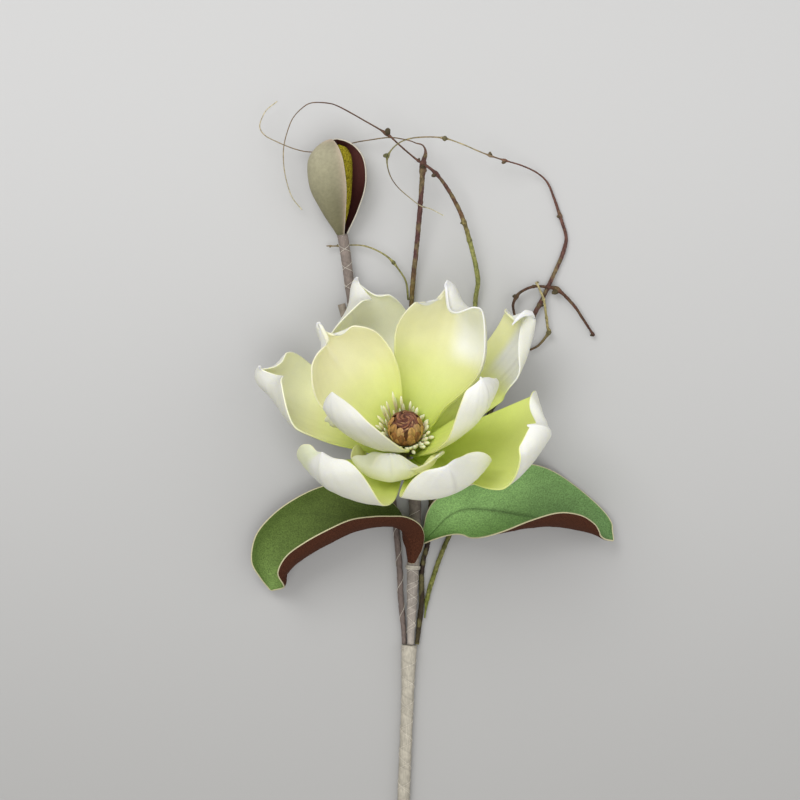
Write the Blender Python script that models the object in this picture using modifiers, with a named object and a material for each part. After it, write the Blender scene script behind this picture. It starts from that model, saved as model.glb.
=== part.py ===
"""Magnolia branch, laid on its back: an open blossom, a half-open seed bud, two leaves and curling vines.

The stems run along Y, the blossom opens upward (+Z) and leans toward +Y, and the branch rests on z = 0.
Sizes in the tables are millimetres and degrees, and everything is built in metres.
"""
import bpy
import bmesh
import numpy as np
from math import cos, pi, radians, sin
from mathutils import Matrix, Vector

MM = 0.001
GAP = 0.3                       # clearance between touching pieces

# Blossom: where its petals meet, and how far its axis leans from +Z toward +Y
BLOSSOM_BASE = Vector((-23.3, 51.4, 48.0))
BLOSSOM_LEAN = 40.0
INNER_RING = (8.0, 1.0)         # radius and height where the inner petals start
OUTER_RING = (9.5, -6.0)
PETAL_THICKNESS = 1.8
PETAL_BASE_HALF_WIDTH = 6.0
PETAL_CLEARANCE = 2.7           # between the middle sheets of overlapping petals
PETAL_ROWS = 28
PETAL_COLUMNS = 16
CONE_HEIGHT = 19.5              # centre of the seed cone above the base
CONE_RADIUS = 14.5
CONE_FOOT = 6.3
COLLAR_TOP = 6.0
STAMEN_COUNT = 34
STAMEN_CLEARANCE = 2.4          # between a stamen's centre line and the middle of a petal
STAMEN_REACH = 4.0              # a petal further aside than this is left out

# Petals: direction around the axis, length, half width, rise of the midrib at base, middle and tip,
# cupping of the body, cupping of the tip, keel at the tip, sideways sweep, roll, cupping imbalance,
# shoulder height on the clockwise and counter-clockwise side, inward curl of the tip, and how blunt it is
INNER_PETALS = (
    (-54, 129, 48, 42, 44, 50, 67, 47, 62, -2, 10, 0.27, 2, 6, 60, 0.0),
    (38, 150, 58, 39, 44, 79, 87, 62, 60, -20, -21, 0.18, 8, 6, 60, 0.0),
    (-145, 146, 39, 51, 53, 97, 59, 53, 2, 17, 2, 0.32, -7, 1, 36, 0.9),
    (114, 145, 34, 33, 60, 103, 22, 46, 5, 3, 11, 0.13, 9, -7, 19, 0.6),
)
OUTER_PETALS = (
    (-29, 157, 49, 13, 29, 62, 46, 105, 52, 16, -9, -0.20, 3, 5, 54, 0.0),
    (189, 96, 45, 3, 53, 131, 51, 67, 28, 5, -13, 0.35, -3, -11, -10, 0.73),
    (-78, 150, 46, 9, 20, 64, 47, 89, 45, 7, -12, -0.02, 4, 7, 56, 0.0),
    (149, 147, 42, 1, 45, 108, 36, 63, 17, 15, 4, -0.05, 5, -5, -5, 0.9),
    (100, 176, 48, 4, 35, 122, 32, 50, 30, 19, -1, 0.02, 17, -3, 54, 0.0),
    (53, 190, 34, 12, 36, 135, 30, 83, 6, 6, 17, 0.47, -4, 1, 60, 0.0),
    (-144, 152, 42, 0, 39, 102, 23, 55, 24, 7, -1, -0.12, 8, 7, 31, 1.0),
)

# Lobes and dips in some petals' rims: place across (-1 to 1) and along (0 to 1), pull along X and Y
PETAL_PULLS = {
    "inner_petal_1": ((-0.7, 0.88, 7, 3), (0.8, 0.86, -4, -3)),
    "inner_petal_2": ((1.0, 0.70, -1, 15), (0.7, 0.90, -6, -10)),
    "outer_petal_1": ((1.0, 0.74, -3, 3), (-0.8, 0.88, 4, -1)),
    "outer_petal_2": ((0.9, 0.78, 3, -6), (1.0, 0.62, 3, -3), (1.0, 0.42, 2, 10),
                      (-0.9, 0.80, -2, -11), (-1.0, 0.60, 0, 5), (-1.0, 0.42, -4, 12)),
    "outer_petal_3": ((1.0, 0.74, -3, 2), (-0.8, 0.88, 4, 1)),
    "outer_petal_6": ((0.8, 0.86, 3, 16), (-0.8, 0.86, -8, -11)),
}
PULL_REACH = (0.45, 0.10)       # how far a pull carries across and along the petal

# Leaves: midrib points, half width, roll, cupping and width factors at even steps, and keel
LEAVES = {
    "leaf_left": dict(
        midrib=((-18.3, -50.5, 13.6), (-19.0, -33.0, 20.5), (-33.0, -18.0, 26.0), (-74, -20.3, 26.8),
                (-123.9, -47.7, 15.8), (-137.6, -73.7, 8.6)),
        half_width=45.4, roll=(-175, -140, -62, -34, -22, 6), cup=(60, 60, 64, 88, 97, 52), keel=3,
        widths=(0.07, 0.27, 0.52, 0.95, 0.86, 0.02)),
    "leaf_right": dict(
        midrib=((-7.6, -32.2, 10.0), (20.2, -6.4, 20.9), (58.3, -6.5, 24.9), (131.1, -21.7, 15.1),
                (152.4, -30.9, 19.3)),
        half_width=41.6, roll=(28, -27, 44, 21), cup=(45, 73, 84, 44), keel=2,
        widths=(0.08, 0.51, 0.79, 1.15, 0.52, 0.02)),
}
LEAF_THICKNESS = 1.6

# Stems and vines: points x, y, z with the radius there
MAIN_STEM = ((-23.3, 42.2, 37.1, 5.4), (-23.2, 37.2, 31.1, 5.4), (-21.6, 28.0, 21.0, 5.4),
             (-18.4, 16.5, 11.8, 5.4), (-15.4, 3.0, 7.4, 5.4), (-15.1, -22.8, 6.6, 5.4),
             (-16.8, -51, 6.6, 5.3), (-17.7, -83.3, 6.3, 4.5), (-18.5, -108, 6.2, 3.5),
             (-18.9, -120.4, 6.8, 3.2))
WRAPPED_STEM = ((-20.1, -120.8, 6.9, 6.9), (-20.4, -129.2, 6.6, 6.6), (-21.1, -150.6, 5.8, 5.8),
                (-21.5, -167.7, 5.5, 5.5), (-23.6, -218.8, 5.4, 5.4), (-26.2, -286.9, 5.4, 5.4),
                (-27.9, -341.5, 5.4, 5.4))
BUD_STEM = ((-76.9, 228.1, 16.5, 4.8), (-75.2, 218.9, 15.0, 4.7), (-72.8, 202.1, 12.0, 4.5),
            (-70.3, 182, 8.2, 4.4), (-67.8, 164.4, 5.9, 4.2), (-63.6, 143.2, 4.9, 4),
            (-57.7, 113.5, 4.6, 3.6), (-50.9, 79.4, 4.2, 3.3), (-41.5, 36.8, 4, 3.1),
            (-33.4, -1.6, 4, 3), (-28.8, -48.5, 4, 2.8), (-27, -83.5, 4, 2.7),
            (-24.6, -109.9, 3.8, 2.3), (-24.4, -120.0, 4.2, 2.2))
STEM_STUB = ((-77.6, 169, 9.5, 3.3), (-71.0, 144.9, 8.2, 3.3))
STUB_BORE = 2.3
VINE_MAIN = ((-13.4, -120.4, 4.4, 1.8), (-11.3, -101.4, 3.2, 2.2), (-9.6, -84.4, 3, 2.3),
             (-9.4, -62.2, 3, 2.2), (-7.9, -48.6, 3, 2.1), (-4, -32.4, 3, 2.1), (-1.5, 2.6, 3, 2.1),
             (-4, 45.3, 3, 2.1), (-10.8, 105, 3, 2.1), (-16.8, 147.6, 4, 2.1), (-18, 169.7, 5, 2.1),
             (-16.4, 194.3, 8, 2.1), (-14.3, 212.8, 11, 2.1), (-11, 248.8, 18, 2.1),
             (-8.5, 285.2, 26, 2.1), (-6.4, 296.1, 27, 1.7), (-8.5, 302.4, 27, 1.3),
             (-14.4, 304.6, 26, 1.1), (-22, 307.4, 24, 1), (-36.4, 309.9, 20, 1), (-53.4, 308.7, 12, 1),
             (-67.9, 306.7, 7, 1), (-83.3, 301.8, 5, 0.9), (-102.4, 299, 7, 0.9), (-117.1, 301, 12, 0.9),
             (-135.3, 307.8, 20, 0.9), (-142.8, 312.2, 22, 0.9), (-146.3, 317.9, 21, 0.9),
             (-145.5, 324.3, 20, 0.8), (-140.9, 333.4, 18, 0.7), (-132, 341, 16, 0.5))
VINE_ARC = ((2.2, 23.0, 3, 1.6), (15.2, 70.8, 3, 2), (28.4, 130.5, 3, 2), (35.2, 160.4, 4, 2),
            (36.5, 175.6, 6, 2), (38.4, 188.2, 9, 2), (36.3, 202.5, 12, 2), (31.4, 221.7, 17, 1.9),
            (25.3, 240.8, 22, 1.9), (16.8, 258.1, 28, 1.8), (5.7, 274.5, 33, 1.7),
            (-5.2, 284.3, 35.5, 1.6), (-14.5, 290.1, 36, 1.5), (-27.4, 301, 36, 1.4),
            (-38.8, 311.2, 35, 1.4), (-57.3, 322.4, 33, 1.2), (-79.2, 334.8, 30, 1.1), (-89.8, 338, 29, 1),
            (-102.9, 338.1, 28, 0.9), (-111.3, 333.2, 27, 0.8), (-118.1, 325.6, 27, 0.8),
            (-122.3, 315.9, 27, 0.7), (-125.7, 303, 26, 0.7), (-126.3, 289.7, 24, 0.7),
            (-124.3, 274.8, 20, 0.6), (-119.5, 260.1, 14, 0.6), (-111.3, 249.6, 8, 0.5))
VINE_LOOP = ((-6.9, -98.0, 3, 1.2), (-4.8, -81.8, 3, 1.9), (-0.9, -67.3, 3, 2), (5.4, -48.6, 3, 2),
             (13, -29.8, 3, 2), (25, 2.6, 3, 2), (38.6, 45.3, 3, 2), (48.8, 76.8, 3.5, 2), (55.6, 87.9, 4, 2),
             (64.2, 109.2, 4, 2), (76.1, 134.8, 4.5, 2), (86.7, 161.2, 5, 1.9), (91.4, 169.7, 5, 1.9),
             (97.9, 183.4, 4, 1.8), (106.9, 203, 3, 1.8), (112, 215.9, 2.6, 1.8), (113.7, 227.8, 2.4, 1.7),
             (108.6, 244.9, 2.4, 1.7), (103.4, 260.2, 3, 1.6), (97.9, 272.8, 5, 1.5), (89.5, 280.6, 8, 1.4),
             (76.5, 286.5, 13, 1.3), (60.9, 290.5, 20, 1.3), (48.8, 293.7, 26, 1.2), (36.8, 297.7, 32, 1.1),
             (24.1, 302.5, 38, 1.1), (8.5, 307.1, 42, 1.1), (-8.2, 307.7, 44, 1.1), (-21.2, 305.9, 45, 1.1),
             (-29.9, 301.8, 45, 1.1), (-36.3, 295.2, 44, 1.1), (-38.8, 287.8, 43, 1.1),
             (-36.3, 276.3, 40, 0.9), (-29.9, 266.6, 37, 0.8), (-19.5, 257.6, 34, 0.7),
             (-10.7, 251.4, 31, 0.6), (-1.8, 248.7, 29, 0.6), (8.8, 243.3, 27, 0.5))
SHOOT_HOOK = ((137.5, 142.5, 4, 1), (128.8, 155.6, 6, 1.1), (119.8, 168.7, 7.5, 1.3),
              (106.6, 181.5, 7.8, 1.4), (96.4, 184.1, 7.5, 1.2), (86.1, 184.5, 7.6, 1.1),
              (76.8, 181, 8, 1.2), (71.6, 176.4, 8, 1.2), (68.3, 168.7, 7.5, 1.1), (70, 158.6, 7, 1))
SHOOT_SHORT = ((87.7, 188.2, 10, 0.8), (91.1, 181.4, 10, 0.9), (94.5, 172.5, 9.3, 1), (96.3, 161.1, 8, 1),
               (97.8, 150.1, 6.5, 1.1), (98.5, 145, 5.5, 1.3), (90.6, 134.8, 4, 1), (83, 130.5, 3, 0.9))
TENDRIL = ((-20.9, 173.1, 6.2, 0.9), (-22.8, 188.2, 10, 0.8), (-28.7, 198.4, 10.5, 0.8),
           (-36.4, 207.7, 10.5, 0.9), (-45.8, 214.2, 9.5, 0.7), (-57.7, 218.9, 8, 0.7),
           (-68.8, 219.8, 7, 0.6), (-80.7, 219.1, 6, 0.6), (-90.5, 219.1, 6, 0.5))
LEAF_TIE = (-16.9, -54.5, 6.6)
LEAF_TIE_WIDTH = 3.0

# Bud: its foot and tip, the outline of its husks (height, radius) and how far round each husk reaches
BUD_FOOT = Vector((-76.9, 228.4, 16.6))
BUD_TIP = Vector((-81.5, 308.5, 31.0))
HUSK_OUTLINE = ((0.3, 5.2), (4.2, 7.1), (15, 12.7), (27.5, 18.4), (36, 21.7), (45, 23.6), (57, 23.6),
                (66, 21.6), (73.5, 16.0), (78.5, 8.5), (80.5, 2.0))
HUSK_THICKNESS = 1.6
HUSK_FRONT_ARC = (-202, -68)
HUSK_BACK_ARC = (-8, 150)
HUSK_FRONT_SPLAY = 3.0
CORE_OUTLINE = ((0.3, 2.6), (6, 3.4), (16, 8.0), (30, 11.5), (45, 12.5), (60, 12.5), (68, 11.0), (73, 7.5),
                (75, 3.0))


def material(name, colour, roughness=0.6, metallic=0.0):
    made = bpy.data.materials.get(name)
    if made:
        return made
    made = bpy.data.materials.new(name)
    made.use_nodes = True
    shader = made.node_tree.nodes["Principled BSDF"]
    shader.inputs["Base Color"].default_value = (*colour, 1.0)
    shader.inputs["Roughness"].default_value = roughness
    shader.inputs["Metallic"].default_value = metallic
    return made


def add_object(name, data, collection, finish):
    made = bpy.data.objects.new(name, data)
    collection.objects.link(made)
    data.materials.append(finish)
    return made


def smooth_step(value):
    value = np.clip(value, 0.0, 1.0)
    return value * value * (3.0 - 2.0 * value)


def smooth_curve(points, count):
    """Read count + 1 points from a Catmull-Rom curve through the given points."""
    knots = np.array(points, float)
    spans = len(knots) - 1
    knots = np.vstack([2 * knots[0] - knots[1], knots, 2 * knots[-1] - knots[-2]])
    place = np.clip(np.linspace(0.0, 1.0, count + 1) * spans, 0.0, spans - 1e-9)
    span = place.astype(int)
    t = (place - span)[:, None]
    before, start, end, after = knots[span], knots[span + 1], knots[span + 2], knots[span + 3]
    bend = 2 * before - 5 * start + 4 * end - after
    twist = 3 * start - before - 3 * end + after
    return 0.5 * (2 * start + (end - before) * t + bend * t ** 2 + twist * t ** 3)


def arc_section(grid, midrib, side, inward, width, cup, keel):
    """Lay a cupped section, with a crease of angle keel in its middle, across each midrib point."""
    for column, place in enumerate(np.linspace(-1.0, 1.0, grid.shape[1])):
        sign = 1.0 if place >= 0.0 else -1.0
        edge = np.maximum(cup[0] if sign > 0 else cup[1], keel + 0.02)
        turn = keel + (edge - keel) * abs(place)
        radius = width / (edge - keel)
        across = radius * (np.sin(turn) - np.sin(keel)) * sign
        lift = radius * (np.cos(keel) - np.cos(turn))
        grid[:, column] = midrib + across[:, None] * side + lift[:, None] * inward


def blossom_axes():
    lean = radians(BLOSSOM_LEAN)
    axis = np.array((0.0, sin(lean), cos(lean)))
    top = np.array((0.0, cos(lean), -sin(lean)))
    return axis, top


def petal_width(v, half_width, blunt):
    """Half width along the petal: a narrow foot, a broad body with round shoulders and a pointed tip."""
    widest, tip_start = 0.58, 0.86
    shoulder_end = 0.955 + 0.045 * blunt
    foot = PETAL_BASE_HALF_WIDTH / half_width
    rise = np.sin(pi / 2 * np.clip(v / widest, 0, 1)) ** 1.15
    past = np.clip((v - widest) / (shoulder_end - widest), 0, 1)
    body = np.where(v < widest, foot + (1 - foot) * rise, (1 - past ** 2.3) ** (0.62 + 0.18 * blunt))
    point = 0.16 * (1 - blunt) * np.clip((1 - v) / (1 - tip_start), 0, 1) ** 0.8
    point *= smooth_step((v - 0.6) / 0.3)
    return half_width * np.sqrt(body ** 2 + point ** 2) + 0.4


def sheet_heights(rows):
    """Heights of a petal's rows, from 0 at the foot to 1 at the tip, closer together near the tip."""
    return 1 - (1 - np.linspace(0, 1, rows + 1)) ** 1.35


def petal_grid(shape, ring, rows, columns):
    """Points of a petal's middle sheet in millimetres, from foot to tip and side to side."""
    (direction, length, half_width, rise_base, rise_middle, rise_tip, cup, tip_cup, keel,
     sweep, roll, imbalance, shoulder_right, shoulder_left, tip_curl, blunt) = shape
    axis, top = blossom_axes()
    around = radians(direction)
    outward = sin(around) * np.array((1.0, 0, 0)) + cos(around) * top
    sideways = cos(around) * np.array((1.0, 0, 0)) - sin(around) * top
    steps = 96
    fine = np.linspace(0, 1, steps + 1)
    rise = rise_base + (4 * rise_middle - 3 * rise_base - rise_tip) * fine
    rise = rise + 2 * (rise_base - 2 * rise_middle + rise_tip) * fine ** 2
    rise = np.radians(rise + tip_curl * smooth_step((fine - 0.8) / 0.2))
    swing = np.radians(sweep * fine)
    heading = np.stack([np.cos(swing) * np.cos(rise), np.cos(swing) * np.sin(rise), np.sin(swing)], 1)
    path = np.vstack([np.zeros(3), np.cumsum((heading[1:] + heading[:-1]) / 2, 0) / steps]) * length
    v = sheet_heights(rows)
    path = np.stack([np.interp(v, fine, path[:, k]) for k in range(3)], 1)
    rise = np.interp(v, fine, rise)[:, None]
    swing = np.interp(v, fine, swing)[:, None]
    start = np.array(BLOSSOM_BASE) + ring[0] * outward + ring[1] * axis
    midrib = start + path @ np.stack([outward, axis, sideways])
    forward = np.cos(rise) * outward + np.sin(rise) * axis
    flat_side = np.cos(swing) * sideways - np.sin(swing) * forward
    flat_inward = np.cos(rise) * axis - np.sin(rise) * outward
    tilt = np.radians(roll * smooth_step(2 * v))[:, None]
    side = np.cos(tilt) * flat_side + np.sin(tilt) * flat_inward
    inward = np.cos(tilt) * flat_inward - np.sin(tilt) * flat_side
    near_tip = smooth_step((v - 0.55) / 0.4)
    cupping = np.radians(cup * (0.4 + 0.6 * smooth_step(4 * v)) + (tip_cup - cup) * near_tip)
    grid = np.zeros((rows + 1, columns + 1, 3))
    arc_section(grid, midrib, side, inward, petal_width(v, half_width, blunt),
                (cupping * (1 + imbalance), cupping * (1 - imbalance)), np.radians(keel) * near_tip)
    along = np.cross(inward, side)
    bump = smooth_step((v - 0.6) / 0.27) * smooth_step((1 - v) / 0.1)
    for column, place in enumerate(np.linspace(-1, 1, columns + 1)):
        shoulder = shoulder_right if place >= 0 else shoulder_left
        grid[:, column] += (shoulder * abs(place) ** 1.2 * bump)[:, None] * along
    return grid


def pulled(grid, name):
    """Raise the lobes and sink the dips of a petal's rim."""
    rows, columns = grid.shape[:2]
    across = np.linspace(-1, 1, columns)[None, :]
    along = sheet_heights(rows - 1)[:, None]
    shaped = grid.copy()
    for place_across, place_along, pull_x, pull_y in PETAL_PULLS.get(name, ()):
        off_across = (across - place_across) / PULL_REACH[0]
        off_along = (along - place_along) / PULL_REACH[1]
        share = np.exp(-off_across ** 2 - off_along ** 2)
        shaped[..., 0] += pull_x * share
        shaped[..., 1] += pull_y * share
    return shaped


def grid_normals(grid):
    down = np.gradient(grid, axis=0)
    across = np.gradient(grid, axis=1)
    normal = np.cross(across, down)
    return normal / np.maximum(np.linalg.norm(normal, axis=2, keepdims=True), 1e-9)


def blur(field):
    padded = np.pad(field, ((1, 1), (1, 1), (0, 0)), mode="edge")
    ring = padded[:-2, 1:-1] + padded[2:, 1:-1] + padded[1:-1, :-2] + padded[1:-1, 2:]
    return 0.5 * field + 0.125 * ring


def keep_outside(grid, inner_sheets, clearance, passes=18, reach=9.0, depth=14.0):
    """Ease a petal outward wherever it comes within the clearance of a petal that lies inside it."""
    shift = np.zeros_like(grid)
    for turn in range(passes):
        points = (grid + shift).reshape(-1, 3)
        push = np.zeros_like(points)
        for sheet, normals in inner_sheets:
            gaps = np.linalg.norm(points[:, None] - sheet[None], axis=2)
            nearest = gaps.argmin(1)
            offset = points - sheet[nearest]
            height = (offset * normals[nearest]).sum(1)
            sideways = np.linalg.norm(offset - height[:, None] * normals[nearest], axis=1)
            caught = (sideways < reach) & (height > -clearance) & (height < depth)
            wanted = np.where(caught, height + clearance, 0.0)[:, None] * -normals[nearest]
            larger = np.linalg.norm(wanted, axis=1) > np.linalg.norm(push, axis=1)
            push[larger] = wanted[larger]
        shift += push.reshape(grid.shape)
        if turn < passes - 5:
            shift = blur(shift)
    return grid + shift


def sheet_object(name, grid, thickness, collection, finish):
    """A sheet of quads over the grid, thickened on both sides."""
    rows, columns = grid.shape[:2]
    mesh = bpy.data.meshes.new(name)
    corners = [(r * columns + c) for r in range(rows - 1) for c in range(columns - 1)]
    faces = [(k, k + 1, k + columns + 1, k + columns) for k in corners]
    mesh.from_pydata((grid.reshape(-1, 3) * MM).tolist(), [], faces)
    mesh.shade_smooth()
    made = add_object(name, mesh, collection, finish)
    shell = made.modifiers.new("thickness", "SOLIDIFY")
    shell.thickness = thickness * MM
    shell.offset = 0.0
    return made


def build_petals(collection):
    finish = material("petal_foam", (0.78, 0.82, 0.42), 0.55)
    inner = [(f"inner_petal_{k + 1}", shape, INNER_RING) for k, shape in enumerate(INNER_PETALS)]
    outer = [(f"outer_petal_{k + 1}", shape, OUTER_RING) for k, shape in enumerate(OUTER_PETALS)]
    laid = []
    for name, shape, ring in inner + outer:
        grid = pulled(petal_grid(shape, ring, PETAL_ROWS, PETAL_COLUMNS), name)
        grid = keep_outside(grid, laid, PETAL_CLEARANCE)
        laid.append((grid.reshape(-1, 3), grid_normals(grid).reshape(-1, 3)))
        sheet_object(name, grid[::2, ::2], PETAL_THICKNESS, collection, finish)
    return laid


def leaf_grid(midrib, half_width, roll, cup, keel, widths, rows, columns):
    path = smooth_curve(midrib, rows)
    forward = np.gradient(path, axis=0)
    forward /= np.linalg.norm(forward, axis=1)[:, None]
    flat_side = np.cross(forward, np.array((0.0, 0.35, 0.94)))
    flat_side /= np.linalg.norm(flat_side, axis=1)[:, None]
    face = np.cross(flat_side, forward)

    def along(values):
        return smooth_curve(np.array(values, float)[:, None], rows)

    tilt = np.radians(along(roll))
    side = np.cos(tilt) * flat_side + np.sin(tilt) * face
    inward = np.cos(tilt) * face - np.sin(tilt) * flat_side
    cupping = np.radians(np.maximum(along(cup)[:, 0], keel + 3))
    width = half_width * np.maximum(along(widths)[:, 0], 0.02)
    grid = np.zeros((rows + 1, columns + 1, 3))
    arc_section(grid, path, side, inward, width, (cupping, cupping), radians(keel))
    return grid


def build_leaves(collection):
    finish = material("leaf_green", (0.10, 0.20, 0.06), 0.7)
    for name, leaf in LEAVES.items():
        grid = leaf_grid(rows=16, columns=8, **leaf)
        sheet_object(name, grid, LEAF_THICKNESS, collection, finish)


def wire_object(name, route, count, collection, finish, sides=2):
    """A tapering round wire along a smooth curve through the route."""
    curve = bpy.data.curves.new(name, "CURVE")
    curve.dimensions = "3D"
    curve.bevel_depth = MM
    curve.bevel_resolution = sides
    curve.use_fill_caps = True
    spline = curve.splines.new("POLY")
    points = smooth_curve(route, count)
    spline.points.add(count)
    for point, (x, y, z, radius) in zip(spline.points, points):
        point.co = (x * MM, y * MM, z * MM, 1.0)
        point.radius = radius
    return add_object(name, curve, collection, finish)


def turned_object(name, outline, foot, axis, collection, finish, steps=20, arc=(0.0, 360.0)):
    """A (height, radius) outline turned about the axis through foot, all in millimetres."""
    mesh = bpy.data.meshes.new(name)
    start = radians(arc[0])
    rim = [(r * cos(start) * MM, r * sin(start) * MM, h * MM) for h, r in reversed(outline)]
    mesh.from_pydata(rim, [(k, k + 1) for k in range(len(rim) - 1)], [])
    made = add_object(name, mesh, collection, finish)
    turn = made.modifiers.new("turn", "SCREW")
    turn.angle = radians(arc[1] - arc[0])
    turn.steps = steps
    turn.render_steps = steps
    turn.use_merge_vertices = True
    turn.merge_threshold = 0.00002
    turn.use_smooth_shade = True
    made.matrix_world = Matrix.Translation(Vector(foot) * MM) @ axis_rotation(axis).to_4x4()
    return made


def axis_rotation(axis):
    """Turn +Z onto the axis, keeping local X as near to world X as it can be."""
    z = Vector(axis).normalized()
    x = (Vector((1, 0, 0)) - z * z.x).normalized()
    return Matrix((x, z.cross(x), z)).transposed()


def build_blossom_heart(collection):
    axis, _ = blossom_axes()
    receptacle = ((-14, 0), (-14, 5.4), (-12, 5.8), (-8, 8.6), (-7.2, 9.1), (-4.6, 9.1), (-0.5, 7.0),
                  (COLLAR_TOP - 1.6, 7.0), (COLLAR_TOP - 1.6, 0))
    turned_object("receptacle", receptacle, BLOSSOM_BASE, axis, collection,
                  material("tape_grey", (0.28, 0.24, 0.20), 0.85))
    foot_angle = np.arccos((CONE_HEIGHT - CONE_FOOT) / CONE_RADIUS)
    angles = np.linspace(pi - foot_angle, 0, 10)
    dome = [(CONE_HEIGHT + CONE_RADIUS * cos(a), CONE_RADIUS * sin(a)) for a in angles]
    turned_object("seed_cone", [(CONE_FOOT, 0)] + dome, BLOSSOM_BASE, axis, collection,
                  material("cone_brown", (0.30, 0.13, 0.05), 0.7), steps=24)


def stamen_route(k):
    """A stamen that leaves the collar, clears the cone's overhang and spreads, longest at the top side."""
    around = 2 * pi * (k + 0.5) / STAMEN_COUNT
    odd = k % 2
    long_side = max(0.0, cos(around + 0.3)) ** 2
    tip = 18.5 + 2.5 * odd + 4.0 * long_side
    height = 17.0 + 1.5 * ((k * 7) % 4) / 3 + 22.0 * long_side * (0.5 + 0.5 * odd)
    profile = ((6.2, 5.4, 0.5), (11.0, 7.8, 0.5), (15.2, 12.0, 0.7), (tip, height, 0.9))
    return [(r * sin(around), r * cos(around), h, thick) for r, h, thick in profile]


def clear_of_petals(point, sheets):
    """Move a point inward until it stands clear of every petal sheet near it."""
    point = np.array(point)
    for _ in range(6):
        for sheet, normals in sheets:
            offset = point - sheet
            near = np.linalg.norm(offset, axis=1).argmin()
            height = offset[near] @ normals[near]
            aside = np.linalg.norm(offset[near] - height * normals[near])
            if aside < STAMEN_REACH and height < STAMEN_CLEARANCE:
                point = point + (STAMEN_CLEARANCE - height) * normals[near]
    return point


def build_stamens(collection, cutters, sheets):
    """The stamens stand on one thin collar under the cone, joined into a single piece."""
    axis, _ = blossom_axes()
    finish = material("stamen_cream", (0.80, 0.78, 0.55), 0.5)
    collar = ((COLLAR_TOP - 1.3, 0), (COLLAR_TOP - 1.3, 7.2), (COLLAR_TOP, 7.2), (COLLAR_TOP, 0))
    made = turned_object("stamens", collar, BLOSSOM_BASE, axis, collection, finish)
    rotation = axis_rotation(axis)
    for k in range(STAMEN_COUNT):
        route = []
        for step, (x, y, z, thick) in enumerate(stamen_route(k)):
            place = rotation @ Vector((x, y, z)) + BLOSSOM_BASE
            if step > 0:
                place = clear_of_petals(place, sheets)
            route.append((*place, thick))
        wire = wire_object(f"stamen_{k + 1}", route, 4, cutters, finish, sides=0)
        solid = mesh_of(wire, cutters)
        solid.hide_render = True
        solid.display_type = "WIRE"
        join = made.modifiers.new(f"join_{k + 1}", "BOOLEAN")
        join.operation = "UNION"
        join.solver = "EXACT"
        join.object = solid


def mesh_of(curve_object, collection):
    """A closed mesh copy of a curve object, which it replaces."""
    graph = bpy.context.evaluated_depsgraph_get()
    mesh = bpy.data.meshes.new_from_object(curve_object.evaluated_get(graph))
    work = bmesh.new()
    work.from_mesh(mesh)
    bmesh.ops.remove_doubles(work, verts=work.verts, dist=1e-6)
    work.to_mesh(mesh)
    work.free()
    made = bpy.data.objects.new(curve_object.name + "_solid", mesh)
    made.matrix_world = curve_object.matrix_world
    collection.objects.link(made)
    bpy.data.objects.remove(curve_object)
    return made


def build_bud(collection):
    axis = BUD_TIP - BUD_FOOT
    husk = material("husk_taupe", (0.42, 0.40, 0.32), 0.8)
    parts = (("husk_front", HUSK_FRONT_ARC, HUSK_FRONT_SPLAY), ("husk_back", HUSK_BACK_ARC, 0.0))
    for name, arc, splay in parts:
        lean = axis + Vector((-sin(radians(splay)), 0, 0.4 * sin(radians(splay)))) * axis.length
        made = turned_object(name, HUSK_OUTLINE, BUD_FOOT, lean, collection, husk, 12, arc)
        shell = made.modifiers.new("thickness", "SOLIDIFY")
        shell.thickness = HUSK_THICKNESS * MM
        shell.offset = -1.0
    core = [(CORE_OUTLINE[0][0], 0)] + list(CORE_OUTLINE) + [(CORE_OUTLINE[-1][0] + 0.6, 0)]
    flock = material("core_mustard", (0.36, 0.30, 0.05), 0.9)
    turned_object("bud_core", core, BUD_FOOT, axis, collection, flock)


def build_stems(collection):
    tape = material("tape_grey", (0.28, 0.24, 0.20), 0.85)
    vine = material("vine_bark", (0.16, 0.12, 0.07), 0.75)
    wire_object("main_stem", MAIN_STEM, 30, collection, tape, sides=3)
    wire_object("wrapped_stem", WRAPPED_STEM, 24, collection, tape, sides=4)
    wire_object("bud_stem", BUD_STEM, 40, collection, tape)
    wire_object("vine_main", VINE_MAIN, 75, collection, vine)
    wire_object("vine_arc", VINE_ARC, 60, collection, vine)
    wire_object("vine_loop", VINE_LOOP, 78, collection, vine)
    wire_object("shoot_hook", SHOOT_HOOK, 20, collection, vine)
    wire_object("shoot_short", SHOOT_SHORT, 16, collection, vine)
    wire_object("tendril", TENDRIL, 18, collection, vine)
    top, low = Vector(STEM_STUB[0][:3]), Vector(STEM_STUB[1][:3])
    length, radius = (top - low).length, STEM_STUB[0][3]
    bore = (length - 8, STUB_BORE)
    outline = ((0, 0), (0, radius), (length, radius), (length, STUB_BORE), bore, (bore[0], 0))
    turned_object("stem_stub", outline, low, top - low, collection, tape, 12)
    inner = MAIN_STEM[6][3] + GAP
    half = LEAF_TIE_WIDTH / 2
    band = ((-half, inner), (-half, inner + 0.8), (half, inner + 0.8), (half, inner), (-half, inner))
    turned_object("leaf_tie", band, LEAF_TIE, (0.04, 1, 0), collection, tape, 20)


def main():
    for old in list(bpy.data.objects):
        bpy.data.objects.remove(old)
    parts = bpy.data.collections.new("magnolia_branch")
    cutters = bpy.data.collections.new("joined_pieces")
    for collection in (parts, cutters):
        bpy.context.scene.collection.children.link(collection)
    build_stems(parts)
    build_bud(parts)
    build_leaves(parts)
    sheets = build_petals(parts)
    build_blossom_heart(parts)
    build_stamens(parts, cutters, sheets)


main()
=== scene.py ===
"""Looks of the magnolia branch: finely shaped foam petals, cloth leaves, taped stems and mossy twigs.

The tables and the petal and leaf functions are those of the solid model, in millimetres and degrees.
The petals' and leaves' numbers were fitted by a program to outlines read off the photo, and then rounded;
the routes' points were chosen in the photo and converted to millimetres, with guessed heights.
"""

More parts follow.
